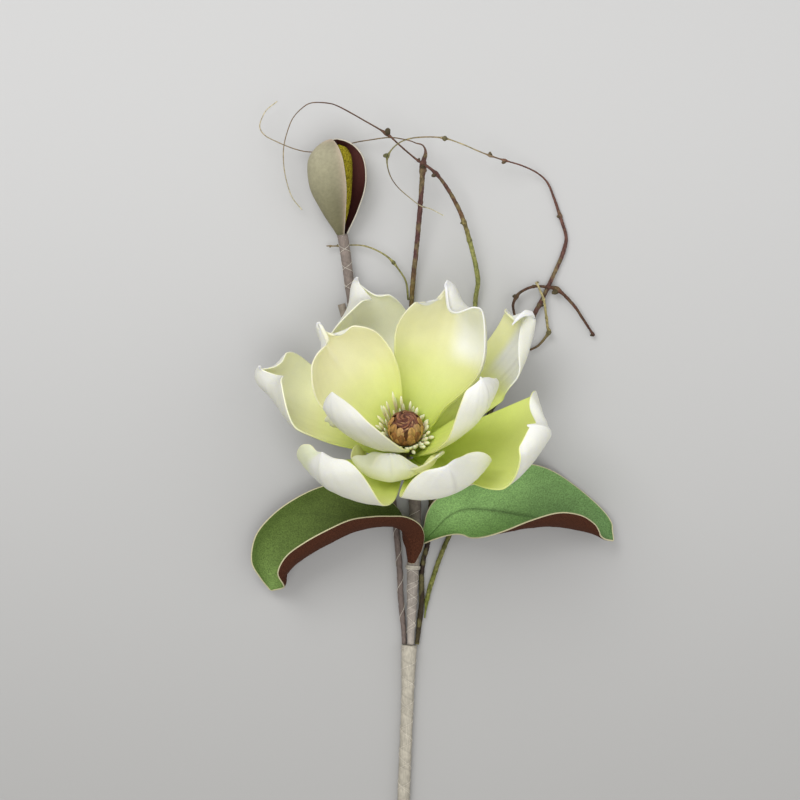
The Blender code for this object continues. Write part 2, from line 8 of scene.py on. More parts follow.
from math import cos, pi, radians, sin

import bpy
import numpy as np
from mathutils import Matrix, Vector, noise


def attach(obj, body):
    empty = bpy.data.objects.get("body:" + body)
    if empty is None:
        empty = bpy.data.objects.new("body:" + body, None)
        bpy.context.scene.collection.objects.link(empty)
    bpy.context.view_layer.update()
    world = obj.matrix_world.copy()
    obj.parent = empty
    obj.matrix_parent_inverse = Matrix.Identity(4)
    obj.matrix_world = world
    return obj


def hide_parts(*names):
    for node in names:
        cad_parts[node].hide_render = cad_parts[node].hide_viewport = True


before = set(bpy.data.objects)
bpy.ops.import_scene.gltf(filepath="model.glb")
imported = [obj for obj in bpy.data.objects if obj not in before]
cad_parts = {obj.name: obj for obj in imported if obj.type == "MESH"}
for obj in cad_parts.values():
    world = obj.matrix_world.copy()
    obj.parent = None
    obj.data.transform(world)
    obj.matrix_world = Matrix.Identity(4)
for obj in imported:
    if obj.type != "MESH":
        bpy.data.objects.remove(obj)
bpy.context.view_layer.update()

MM = 0.001
# Blossom: where its petals meet, and how far its axis leans from +Z toward +Y
BLOSSOM_BASE = Vector((-23.3, 51.4, 48.0))
BLOSSOM_LEAN = 40.0
INNER_RING = (8.0, 1.0)         # radius and height where the inner petals start
OUTER_RING = (9.5, -6.0)
PETAL_BASE_HALF_WIDTH = 6.0
PETAL_CLEARANCE = 2.7           # between the middle sheets of overlapping petals
PETAL_ROWS = 28
PETAL_COLUMNS = 16
CONE_HEIGHT = 19.5              # centre of the seed cone above the base
CONE_RADIUS = 14.5
COLLAR_TOP = 6.0                # of the collar that the stamens stand on
STAMEN_CLEARANCE = 2.4          # between a stamen's centre line and the middle of a petal
STAMEN_REACH = 4.0              # a petal further aside than this is left out

# Petals: direction around the axis, length, half width, rise of the midrib at base, middle and tip,
# cupping of the body, cupping of the tip, keel at the tip, sideways sweep, roll, cupping imbalance,
# shoulder height on the clockwise and counter-clockwise side, inward curl of the tip, and how blunt it is
INNER_PETALS = (
    (-54, 129, 48, 42, 44, 50, 67, 47, 62, -2, 10, 0.27, 2, 6, 60, 0.0),
    (38, 150, 58, 39, 44, 79, 87, 62, 60, -20, -21, 0.18, 8, 6, 60, 0.0),
    (-145, 146, 39, 51, 53, 97, 59, 53, 2, 17, 2, 0.32, -7, 1, 36, 0.9),
    (114, 145, 34, 33, 60, 103, 22, 46, 5, 3, 11, 0.13, 9, -7, 19, 0.6),
)
OUTER_PETALS = (
    (-29, 157, 49, 13, 29, 62, 46, 105, 52, 16, -9, -0.20, 3, 5, 54, 0.0),
    (189, 96, 45, 3, 53, 131, 51, 67, 28, 5, -13, 0.35, -3, -11, -10, 0.73),
    (-78, 150, 46, 9, 20, 64, 47, 89, 45, 7, -12, -0.02, 4, 7, 56, 0.0),
    (149, 147, 42, 1, 45, 108, 36, 63, 17, 15, 4, -0.05, 5, -5, -5, 0.9),
    (100, 176, 48, 4, 35, 122, 32, 50, 30, 19, -1, 0.02, 17, -3, 54, 0.0),
    (53, 190, 34, 12, 36, 135, 30, 83, 6, 6, 17, 0.47, -4, 1, 60, 0.0),
    (-144, 152, 42, 0, 39, 102, 23, 55, 24, 7, -1, -0.12, 8, 7, 31, 1.0),
)

# Lobes and dips in some petals' rims: place across (-1 to 1) and along (0 to 1), pull along X and Y
PETAL_PULLS = {
    "inner_petal_1": ((-0.7, 0.88, 7, 3), (0.8, 0.86, -4, -3)),
    "inner_petal_2": ((1.0, 0.70, -1, 15), (0.7, 0.90, -6, -10)),
    "outer_petal_1": ((1.0, 0.74, -3, 3), (-0.8, 0.88, 4, -1)),
    "outer_petal_2": ((0.9, 0.78, 3, -6), (1.0, 0.62, 3, -3), (1.0, 0.42, 2, 10),
                      (-0.9, 0.80, -2, -11), (-1.0, 0.60, 0, 5), (-1.0, 0.42, -4, 12)),
    "outer_petal_3": ((1.0, 0.74, -3, 2), (-0.8, 0.88, 4, 1)),
    "outer_petal_6": ((0.8, 0.86, 3, 16), (-0.8, 0.86, -8, -11)),
}
PULL_REACH = (0.45, 0.10)       # how far a pull carries across and along the petal

# Leaves: midrib points, half width, roll, cupping and width factors at even steps, and keel
LEAVES = {
    "leaf_left": dict(
        midrib=((-18.3, -50.5, 13.6), (-19.0, -33.0, 20.5), (-33.0, -18.0, 26.0), (-74, -20.3, 26.8),
                (-123.9, -47.7, 15.8), (-137.6, -73.7, 8.6)),
        half_width=45.4, roll=(-175, -140, -62, -34, -22, 6), cup=(60, 60, 64, 88, 97, 52), keel=3,
        widths=(0.07, 0.27, 0.52, 0.95, 0.86, 0.02)),
    "leaf_right": dict(
        midrib=((-7.6, -32.2, 10.0), (20.2, -6.4, 20.9), (58.3, -6.5, 24.9), (131.1, -21.7, 15.1),
                (152.4, -30.9, 19.3)),
        half_width=41.6, roll=(28, -27, 44, 21), cup=(45, 73, 84, 44), keel=2,
        widths=(0.08, 0.51, 0.79, 1.15, 0.52, 0.02)),
}
LEAF_UP = (0.0, 0.35, 0.94)     # the way that a leaf with no roll faces

# Stems and vines: points x, y, z with the radius there
MAIN_STEM = ((-23.3, 42.2, 37.1, 5.4), (-23.2, 37.2, 31.1, 5.4), (-21.6, 28.0, 21.0, 5.4),
             (-18.4, 16.5, 11.8, 5.4), (-15.4, 3.0, 7.4, 5.4), (-15.1, -22.8, 6.6, 5.4),
             (-16.8, -51, 6.6, 5.3), (-17.7, -83.3, 6.3, 4.5), (-18.5, -108, 6.2, 3.5),
             (-18.9, -120.4, 6.8, 3.2))
WRAPPED_STEM = ((-20.1, -120.8, 6.9, 6.9), (-20.4, -129.2, 6.6, 6.6), (-21.1, -150.6, 5.8, 5.8),
                (-21.5, -167.7, 5.5, 5.5), (-23.6, -218.8, 5.4, 5.4), (-26.2, -286.9, 5.4, 5.4),
                (-27.9, -341.5, 5.4, 5.4))
BUD_STEM = ((-76.9, 228.1, 16.5, 4.8), (-75.2, 218.9, 15.0, 4.7), (-72.8, 202.1, 12.0, 4.5),
            (-70.3, 182, 8.2, 4.4), (-67.8, 164.4, 5.9, 4.2), (-63.6, 143.2, 4.9, 4),
            (-57.7, 113.5, 4.6, 3.6), (-50.9, 79.4, 4.2, 3.3), (-41.5, 36.8, 4, 3.1),
            (-33.4, -1.6, 4, 3), (-28.8, -48.5, 4, 2.8), (-27, -83.5, 4, 2.7),
            (-24.6, -109.9, 3.8, 2.3), (-24.4, -120.0, 4.2, 2.2))
STEM_STUB = ((-77.6, 169, 9.5, 3.3), (-71.0, 144.9, 8.2, 3.3))
STUB_BORE = 2.3
VINE_MAIN = ((-13.4, -120.4, 4.4, 1.8), (-11.3, -101.4, 3.2, 2.2), (-9.6, -84.4, 3, 2.3),
             (-9.4, -62.2, 3, 2.2), (-7.9, -48.6, 3, 2.1), (-4, -32.4, 3, 2.1), (-1.5, 2.6, 3, 2.1),
             (-4, 45.3, 3, 2.1), (-10.8, 105, 3, 2.1), (-16.8, 147.6, 4, 2.1), (-18, 169.7, 5, 2.1),
             (-16.4, 194.3, 8, 2.1), (-14.3, 212.8, 11, 2.1), (-11, 248.8, 18, 2.1),
             (-8.5, 285.2, 26, 2.1), (-6.4, 296.1, 27, 1.7), (-8.5, 302.4, 27, 1.3),
             (-14.4, 304.6, 26, 1.1), (-22, 307.4, 24, 1), (-36.4, 309.9, 20, 1), (-53.4, 308.7, 12, 1),
             (-67.9, 306.7, 7, 1), (-83.3, 301.8, 5, 0.9), (-102.4, 299, 7, 0.9), (-117.1, 301, 12, 0.9),
             (-135.3, 307.8, 20, 0.9), (-142.8, 312.2, 22, 0.9), (-146.3, 317.9, 21, 0.9),
             (-145.5, 324.3, 20, 0.8), (-140.9, 333.4, 18, 0.7), (-132, 341, 16, 0.5))
VINE_ARC = ((2.2, 23.0, 3, 1.6), (15.2, 70.8, 3, 2), (28.4, 130.5, 3, 2), (35.2, 160.4, 4, 2),
            (36.5, 175.6, 6, 2), (38.4, 188.2, 9, 2), (36.3, 202.5, 12, 2), (31.4, 221.7, 17, 1.9),
            (25.3, 240.8, 22, 1.9), (16.8, 258.1, 28, 1.8), (5.7, 274.5, 33, 1.7),
            (-5.2, 284.3, 35.5, 1.6), (-14.5, 290.1, 36, 1.5), (-27.4, 301, 36, 1.4),
            (-38.8, 311.2, 35, 1.4), (-57.3, 322.4, 33, 1.2), (-79.2, 334.8, 30, 1.1), (-89.8, 338, 29, 1),
            (-102.9, 338.1, 28, 0.9), (-111.3, 333.2, 27, 0.8), (-118.1, 325.6, 27, 0.8),
            (-122.3, 315.9, 27, 0.7), (-125.7, 303, 26, 0.7), (-126.3, 289.7, 24, 0.7),
            (-124.3, 274.8, 20, 0.6), (-119.5, 260.1, 14, 0.6), (-111.3, 249.6, 8, 0.5))
VINE_LOOP = ((-6.9, -98.0, 3, 1.2), (-4.8, -81.8, 3, 1.9), (-0.9, -67.3, 3, 2), (5.4, -48.6, 3, 2),
             (13, -29.8, 3, 2), (25, 2.6, 3, 2), (38.6, 45.3, 3, 2), (48.8, 76.8, 3.5, 2), (55.6, 87.9, 4, 2),
             (64.2, 109.2, 4, 2), (76.1, 134.8, 4.5, 2), (86.7, 161.2, 5, 1.9), (91.4, 169.7, 5, 1.9),
             (97.9, 183.4, 4, 1.8), (106.9, 203, 3, 1.8), (112, 215.9, 2.6, 1.8), (113.7, 227.8, 2.4, 1.7),
             (108.6, 244.9, 2.4, 1.7), (103.4, 260.2, 3, 1.6), (97.9, 272.8, 5, 1.5), (89.5, 280.6, 8, 1.4),
             (76.5, 286.5, 13, 1.3), (60.9, 290.5, 20, 1.3), (48.8, 293.7, 26, 1.2), (36.8, 297.7, 32, 1.1),
             (24.1, 302.5, 38, 1.1), (8.5, 307.1, 42, 1.1), (-8.2, 307.7, 44, 1.1), (-21.2, 305.9, 45, 1.1),
             (-29.9, 301.8, 45, 1.1), (-36.3, 295.2, 44, 1.1), (-38.8, 287.8, 43, 1.1),
             (-36.3, 276.3, 40, 0.9), (-29.9, 266.6, 37, 0.8), (-19.5, 257.6, 34, 0.7),
             (-10.7, 251.4, 31, 0.6), (-1.8, 248.7, 29, 0.6), (8.8, 243.3, 27, 0.5))
SHOOT_HOOK = ((137.5, 142.5, 4, 1), (128.8, 155.6, 6, 1.1), (119.8, 168.7, 7.5, 1.3),
              (106.6, 181.5, 7.8, 1.4), (96.4, 184.1, 7.5, 1.2), (86.1, 184.5, 7.6, 1.1),
              (76.8, 181, 8, 1.2), (71.6, 176.4, 8, 1.2), (68.3, 168.7, 7.5, 1.1), (70, 158.6, 7, 1))
SHOOT_SHORT = ((87.7, 188.2, 10, 0.8), (91.1, 181.4, 10, 0.9), (94.5, 172.5, 9.3, 1), (96.3, 161.1, 8, 1),
               (97.8, 150.1, 6.5, 1.1), (98.5, 145, 5.5, 1.3), (90.6, 134.8, 4, 1), (83, 130.5, 3, 0.9))
TENDRIL = ((-20.9, 173.1, 6.2, 0.9), (-22.8, 188.2, 10, 0.8), (-28.7, 198.4, 10.5, 0.8),
           (-36.4, 207.7, 10.5, 0.9), (-45.8, 214.2, 9.5, 0.7), (-57.7, 218.9, 8, 0.7),
           (-68.8, 219.8, 7, 0.6), (-80.7, 219.1, 6, 0.6), (-90.5, 219.1, 6, 0.5))
LEAF_TIE = (-16.9, -54.5, 6.6)
LEAF_TIE_WIDTH = 3.0

# Bud: its foot and tip, the outline of its husks (height, radius) and how far round each husk reaches
BUD_FOOT = Vector((-76.9, 228.4, 16.6))
BUD_TIP = Vector((-81.5, 308.5, 31.0))
HUSK_OUTLINE = ((0.3, 5.2), (4.2, 7.1), (15, 12.7), (27.5, 18.4), (36, 21.7), (45, 23.6), (57, 23.6),
                (66, 21.6), (73.5, 16.0), (78.5, 8.5), (80.5, 2.0))
HUSK_THICKNESS = 1.6
HUSK_FRONT_ARC = (-202, -68)
HUSK_BACK_ARC = (-8, 150)
HUSK_FRONT_SPLAY = 3.0
CORE_OUTLINE = ((0.3, 2.6), (6, 3.4), (16, 8.0), (30, 11.5), (45, 12.5), (60, 12.5), (68, 11.0), (73, 7.5),
                (75, 3.0))


def smooth_step(value):
    value = np.clip(value, 0.0, 1.0)
    return value * value * (3.0 - 2.0 * value)


def ramp(value, start, width):
    """0 up to the start, 1 from the end of the width on, and smooth between."""
    return smooth_step((value - start) / width)


def unit(vectors):
    return vectors / np.maximum(np.linalg.norm(vectors, axis=-1, keepdims=True), 1e-9)


def run_along(path):
    """The length of the path up to each of its points."""
    return np.concatenate([[0], np.cumsum(np.linalg.norm(np.diff(path, axis=0), axis=1))])


def read_along(place, keys, table):
    """The rows of a table that stand at the keys, read at the places between them."""
    return np.stack([np.interp(place, keys, column) for column in np.transpose(table)], -1)


def sheet_places(heights, columns):
    """How far along and across (-1 to 1) each point of a sheet lies."""
    return np.meshgrid(heights, np.linspace(-1, 1, columns), indexing="ij")


def smooth_curve(points, count):
    """Read count + 1 points from a Catmull-Rom curve through the given points."""
    knots = np.array(points, float)
    spans = len(knots) - 1
    knots = np.vstack([2 * knots[0] - knots[1], knots, 2 * knots[-1] - knots[-2]])
    place = np.clip(np.linspace(0.0, 1.0, count + 1) * spans, 0.0, spans - 1e-9)
    span = place.astype(int)
    t = (place - span)[:, None]
    before, start, end, after = knots[span], knots[span + 1], knots[span + 2], knots[span + 3]
    bend = 2 * before - 5 * start + 4 * end - after
    twist = 3 * start - before - 3 * end + after
    return 0.5 * (2 * start + (end - before) * t + bend * t ** 2 + twist * t ** 3)


def arc_section(grid, midrib, side, inward, width, cup, keel):
    """Lay a cupped section, with a crease of angle keel in its middle, across each midrib point."""
    for column, place in enumerate(np.linspace(-1.0, 1.0, grid.shape[1])):
        sign = 1.0 if place >= 0.0 else -1.0
        edge = np.maximum(cup[0] if sign > 0 else cup[1], keel + 0.02)
        turn = keel + (edge - keel) * abs(place)
        radius = width / (edge - keel)
        across = radius * (np.sin(turn) - np.sin(keel)) * sign
        lift = radius * (np.cos(keel) - np.cos(turn))
        grid[:, column] = midrib + across[:, None] * side + lift[:, None] * inward


def blossom_axes():
    lean = radians(BLOSSOM_LEAN)
    axis = np.array((0.0, sin(lean), cos(lean)))
    top = np.array((0.0, cos(lean), -sin(lean)))
    return axis, top


def petal_width(v, half_width, blunt):
    """Half width along the petal: a narrow foot, a broad body with round shoulders and a pointed tip."""
    widest, tip_start = 0.58, 0.86
    shoulder_end = 0.955 + 0.045 * blunt
    foot = PETAL_BASE_HALF_WIDTH / half_width
    rise = np.sin(pi / 2 * np.clip(v / widest, 0, 1)) ** 1.15
    past = np.clip((v - widest) / (shoulder_end - widest), 0, 1)
    body = np.where(v < widest, foot + (1 - foot) * rise, (1 - past ** 2.3) ** (0.62 + 0.18 * blunt))
    point = 0.16 * (1 - blunt) * np.clip((1 - v) / (1 - tip_start), 0, 1) ** 0.8
    point *= smooth_step((v - 0.6) / 0.3)
    return half_width * np.sqrt(body ** 2 + point ** 2) + 0.4


def sheet_heights(rows):
    """Heights of a petal's rows, from 0 at the foot to 1 at the tip, closer together near the tip."""
    return 1 - (1 - np.linspace(0, 1, rows + 1)) ** 1.35


def petal_grid(shape, ring, rows, columns):
    """Points of a petal's middle sheet in millimetres, from foot to tip and side to side."""
    (direction, length, half_width, rise_base, rise_middle, rise_tip, cup, tip_cup, keel,
     sweep, roll, imbalance, shoulder_right, shoulder_left, tip_curl, blunt) = shape
    axis, top = blossom_axes()
    around = radians(direction)
    outward = sin(around) * np.array((1.0, 0, 0)) + cos(around) * top
    sideways = cos(around) * np.array((1.0, 0, 0)) - sin(around) * top
    steps = 96
    fine = np.linspace(0, 1, steps + 1)
    rise = rise_base + (4 * rise_middle - 3 * rise_base - rise_tip) * fine
    rise = rise + 2 * (rise_base - 2 * rise_middle + rise_tip) * fine ** 2
    rise = np.radians(rise + tip_curl * smooth_step((fine - 0.8) / 0.2))
    swing = np.radians(sweep * fine)
    heading = np.stack([np.cos(swing) * np.cos(rise), np.cos(swing) * np.sin(rise), np.sin(swing)], 1)
    path = np.vstack([np.zeros(3), np.cumsum((heading[1:] + heading[:-1]) / 2, 0) / steps]) * length
    v = sheet_heights(rows)
    path = read_along(v, fine, path)
    rise = np.interp(v, fine, rise)[:, None]
    swing = np.interp(v, fine, swing)[:, None]
    start = np.array(BLOSSOM_BASE) + ring[0] * outward + ring[1] * axis
    midrib = start + path @ np.stack([outward, axis, sideways])
    forward = np.cos(rise) * outward + np.sin(rise) * axis
    flat_side = np.cos(swing) * sideways - np.sin(swing) * forward
    flat_inward = np.cos(rise) * axis - np.sin(rise) * outward
    tilt = np.radians(roll * smooth_step(2 * v))[:, None]
    side = np.cos(tilt) * flat_side + np.sin(tilt) * flat_inward
    inward = np.cos(tilt) * flat_inward - np.sin(tilt) * flat_side
    near_tip = smooth_step((v - 0.55) / 0.4)
    cupping = np.radians(cup * (0.4 + 0.6 * smooth_step(4 * v)) + (tip_cup - cup) * near_tip)
    grid = np.zeros((rows + 1, columns + 1, 3))
    arc_section(grid, midrib, side, inward, petal_width(v, half_width, blunt),
                (cupping * (1 + imbalance), cupping * (1 - imbalance)), np.radians(keel) * near_tip)
    along = np.cross(inward, side)
    bump = smooth_step((v - 0.6) / 0.27) * smooth_step((1 - v) / 0.1)
    for column, place in enumerate(np.linspace(-1, 1, columns + 1)):
        shoulder = shoulder_right if place >= 0 else shoulder_left
        grid[:, column] += (shoulder * abs(place) ** 1.2 * bump)[:, None] * along
    return grid


def pulled(grid, name):
    """Raise the lobes and sink the dips of a petal's rim."""
    rows, columns = grid.shape[:2]
    across = np.linspace(-1, 1, columns)[None, :]
    along = sheet_heights(rows - 1)[:, None]
    shaped = grid.copy()
    for place_across, place_along, pull_x, pull_y in PETAL_PULLS.get(name, ()):
        off_across = (across - place_across) / PULL_REACH[0]
        off_along = (along - place_along) / PULL_REACH[1]
        share = np.exp(-off_across ** 2 - off_along ** 2)
        shaped[..., 0] += pull_x * share
        shaped[..., 1] += pull_y * share
    return shaped


def grid_normals(grid):
    down = np.gradient(grid, axis=0)
    across = np.gradient(grid, axis=1)
    return unit(np.cross(across, down))


def blur(field):
    padded = np.pad(field, ((1, 1), (1, 1), (0, 0)), mode="edge")
    ring = padded[:-2, 1:-1] + padded[2:, 1:-1] + padded[1:-1, :-2] + padded[1:-1, 2:]
    return 0.5 * field + 0.125 * ring


def keep_outside(grid, inner_sheets, clearance, passes=18, reach=9.0, depth=14.0):
    """Ease a petal outward wherever it comes within the clearance of a petal that lies inside it."""
    shift = np.zeros_like(grid)
    for turn in range(passes):
        points = (grid + shift).reshape(-1, 3)
        push = np.zeros_like(points)
        for sheet, normals in inner_sheets:
            gaps = np.linalg.norm(points[:, None] - sheet[None], axis=2)
            nearest = gaps.argmin(1)
            offset = points - sheet[nearest]
            height = (offset * normals[nearest]).sum(1)
            sideways = np.linalg.norm(offset - height[:, None] * normals[nearest], axis=1)
            caught = (sideways < reach) & (height > -clearance) & (height < depth)
            wanted = np.where(caught, height + clearance, 0.0)[:, None] * -normals[nearest]
            larger = np.linalg.norm(wanted, axis=1) > np.linalg.norm(push, axis=1)
            push[larger] = wanted[larger]
        shift += push.reshape(grid.shape)
        if turn < passes - 5:
            shift = blur(shift)
    return grid + shift


def leaf_grid(midrib, half_width, roll, cup, keel, widths, rows, columns):
    path = smooth_curve(midrib, rows)
    forward = unit(np.gradient(path, axis=0))
    flat_side = unit(np.cross(forward, LEAF_UP))
    face = np.cross(flat_side, forward)

    def along(values):
        return smooth_curve(np.array(values, float)[:, None], rows)

    tilt = np.radians(along(roll))
    side = np.cos(tilt) * flat_side + np.sin(tilt) * face
    inward = np.cos(tilt) * face - np.sin(tilt) * flat_side
    cupping = np.radians(np.maximum(along(cup)[:, 0], keel + 3))
    width = half_width * np.maximum(along(widths)[:, 0], 0.02)
    grid = np.zeros((rows + 1, columns + 1, 3))
    arc_section(grid, path, side, inward, width, (cupping, cupping), radians(keel))
    return grid


def axis_rotation(axis):
    """Turn +Z onto the axis, keeping local X as near to world X as it can be."""
    z = Vector(axis).normalized()
    x = (Vector((1, 0, 0)) - z * z.x).normalized()
    return Matrix((x, z.cross(x), z)).transposed()


def clear_of_petals(point, sheets):
    """Move a point inward until it stands clear of every petal sheet near it."""
    point = np.array(point)
    for _ in range(6):
        for sheet, normals in sheets:
            offset = point - sheet
            near = np.linalg.norm(offset, axis=1).argmin()
            height = offset[near] @ normals[near]
            aside = np.linalg.norm(offset[near] - height * normals[near])
            if aside < STAMEN_REACH and height < STAMEN_CLEARANCE:
                point = point + (STAMEN_CLEARANCE - height) * normals[near]
    return point


def srgb(red, green, blue):
    """A colour given in 0 to 255 display values, as the linear values that shaders use."""
    values = np.array((red, green, blue), float) / 255.0
    return np.where(values <= 0.04045, values / 12.92, ((values + 0.055) / 1.055) ** 2.4)


def stops(place, table):
    """Linear colours read from (place, display colour) stops."""
    return read_along(place, [row[0] for row in table], [srgb(*row[1]) for row in table])


def mixed(colours, other, share):
    """The linear colours, moved toward the other display colour by the share at each point."""
    return colours + share[..., None] * (srgb(*other) - colours)


def speckle(points, scale, seed=0.0):
    """Smooth noise from -1 to 1 at each point, given in millimetres."""
    shift = Vector((seed, seed * 0.37, -seed))
    values = [noise.noise(Vector(p) * scale + shift) for p in points.reshape(-1, 3)]
    return np.array(values).reshape(points.shape[:-1])


def refine(grid, factor):
    """The grid with factor times as many cells each way, on smooth curves through its points."""
    rows, columns = grid.shape[:2]
    tall = smooth_curve(grid.reshape(rows, -1), (rows - 1) * factor).reshape(-1, columns, grid.shape[2])
    wide = smooth_curve(tall.transpose(1, 0, 2).reshape(columns, -1), (columns - 1) * factor)
    return wide.reshape(-1, tall.shape[0], grid.shape[2]).transpose(1, 0, 2)


# ---------------------------------------------------------------- meshes

RIM_ARCS = 4                    # steps round the rounded rim of a sheet
RIM_SWELL = 0.9                 # how far the rim bulges, as a share of half the thickness
STEEP = 0.9                     # a path that starts out steeper than this has its first spoke near X


class Soup:
    """Points, faces, colours and material numbers gathered for one mesh."""

    def __init__(self):
        self.points, self.faces, self.colours, self.finishes, self.count = [], [], [], [], 0

    def add(self, points, faces, colours, finish=0):
        self.points.append(points.reshape(-1, 3))
        self.colours.append(colours.reshape(-1, 3))
        self.faces += [tuple(k + self.count for k in face) for face in faces]
        self.finishes += [finish] * len(faces)
        self.count += len(self.points[-1])

    def piece(self, name, nodes, finishes):
        mesh = bpy.data.meshes.new(name)
        points = np.concatenate(self.points) * MM
        mesh.from_pydata(points.tolist(), [], self.faces)
        tint = mesh.color_attributes.new("tint", "FLOAT_COLOR", "POINT")
        values = np.ones((len(points), 4))
        values[:, :3] = np.concatenate(self.colours)
        tint.data.foreach_set("color", np.clip(values, 0, 1).ravel())
        mesh.polygons.foreach_set("material_index", self.finishes)
        mesh.shade_smooth()
        for finish in finishes:
            mesh.materials.append(finish)
        made = bpy.data.objects.new(name, mesh)
        bpy.context.scene.collection.objects.link(made)
        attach(made, "root")
        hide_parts(*nodes)


def band_faces(rows, sides):
    """Quads between rows of points that each close into a ring."""
    index = np.arange(rows * sides).reshape(rows, sides)
    after = np.roll(index, -1, 1)
    return np.stack([index[:-1], after[:-1], after[1:], index[1:]], -1).reshape(-1, 4).tolist()


def closed_faces(rows, sides):
    """The same quads, with one face over the first ring and one over the last."""
    last = (rows - 1) * sides
    return band_faces(rows, sides) + [tuple(range(sides))[::-1], tuple(range(last, last + sides))]


def shell(soup, grid, thickness, front_colour, back_colour, rim_colour, finishes=(0, 0, 0)):
    """A thick sheet with a rounded rim over the grid; the colours are one for each grid point."""
    rows, columns = grid.shape[:2]
    half = thickness / 2
    index = np.arange(rows * columns).reshape(rows, columns)
    quads = np.stack([index[:-1, :-1], index[:-1, 1:], index[1:, 1:], index[1:, :-1]], -1).reshape(-1, 4)
    border = np.concatenate([index[0, :-1], index[:-1, -1], index[-1, :0:-1], index[:0:-1, 0]])
    sheet = grid.reshape(-1, 3)
    lifted = grid_normals(grid).reshape(-1, 3)
    tangent = sheet[np.roll(border, -1)] - sheet[np.roll(border, 1)]
    outward = unit(np.cross(tangent, lifted[border]))
    turn = np.linspace(0, pi, RIM_ARCS + 1)[:, None, None]
    rim = sheet[border] + half * (np.cos(turn) * lifted[border] + RIM_SWELL * np.sin(turn) * outward)
    rim_faces = [face[::-1] for face in band_faces(RIM_ARCS + 1, len(border))]
    rim_colours = np.tile(rim_colour.reshape(-1, 3)[border], (RIM_ARCS + 1, 1))
    soup.add(sheet + half * lifted, quads, front_colour, finishes[0])
    soup.add(sheet - half * lifted, quads[:, ::-1], back_colour, finishes[1])
    soup.add(rim, rim_faces, rim_colours, finishes[2])


def frames_along(path):
    """Tangent, and two directions across the path that don't twist."""
    tangent = unit(np.gradient(path, axis=0))
    across = np.zeros_like(path)
    current = np.array((0.0, 0, 1.0)) if abs(tangent[0, 2]) < STEEP else np.array((1.0, 0, 0))
    for k, direction in enumerate(tangent):
        current = unit(current - (current @ direction) * direction)
        across[k] = current
    return tangent, across, np.cross(tangent, across)


def spokes_along(path, sides):
    """Directions across the path, one for each of its points and each side of a tube round it."""
    _, across, other = frames_along(path)
    turn = (2 * pi * np.arange(sides) / sides)[None, :, None]
    return np.cos(turn) * across[:, None] + np.sin(turn) * other[:, None]


def tube(soup, path, radii, colours, sides):
    """A closed tube along the path, with a radius and a colour for each point or each point and side."""
    ring = path[:, None] + radii.reshape(len(path), -1, 1) * spokes_along(path, sides)
    if colours.ndim < 3:
        colours = colours.reshape(-1, 1, 3)
    colours = np.broadcast_to(colours, ring.shape)
    foot = len(path) * sides
    tip, last_ring = foot + 1, foot - sides
    faces = band_faces(len(path), sides)
    for k in range(sides):
        after = (k + 1) % sides
        faces += [(foot, after, k), (tip, last_ring + k, last_ring + after)]
    points = np.concatenate([ring.reshape(-1, 3), path[:1], path[-1:]])
    soup.add(points, faces, np.concatenate([colours.reshape(-1, 3), colours[0, :1], colours[-1, :1]]))


def even_route(route, spacing):
    """Points (x, y, z, radius) at an even spacing along the smooth curve through the route."""
    fine = smooth_curve(route, 40 * len(route))
    length = run_along(fine[:, :3])
    place = np.linspace(0, length[-1], max(4, int(length[-1] / spacing)) + 1)
    points = read_along(place, length, fine)
    return place, points[:, :3], points[:, 3]


def turned(outline, foot, axis, arc, rows, columns):
    """Grid of points on an outline (height, radius) turned about the axis, from the foot up."""
    profile = smooth_curve(outline, rows)
    angles = np.radians(np.linspace(arc[0], arc[1], columns + 1))
    heights, radii = profile[:, :1], np.maximum(profile[:, 1:], 0.0)
    local = np.stack([radii * np.cos(angles), radii * np.sin(angles), heights + 0 * angles], -1)
    return local @ np.array(axis_rotation(axis)).T + np.array(foot)


def closed_turned(soup, outline, foot, axis, cells, colour, mottle, rough=0.0, scale=0.5):
    """A closed turned body whose outline starts and ends on the axis; bumps roughen and mottle it."""
    rows, sides = cells
    grid = turned(outline, foot, axis, (0, 360 * (sides - 1) / sides), rows, sides - 1)
    centre = np.array(foot) + np.array(Vector(axis).normalized()) * np.mean([h for h, _ in outline])
    bumps = speckle(grid, scale, 1.0)[..., None]
    colours = srgb(*colour) * (1.0 + mottle * bumps)
    soup.add(grid + rough * bumps * unit(grid - centre), closed_faces(rows + 1, sides), colours)


# ---------------------------------------------------------------- materials


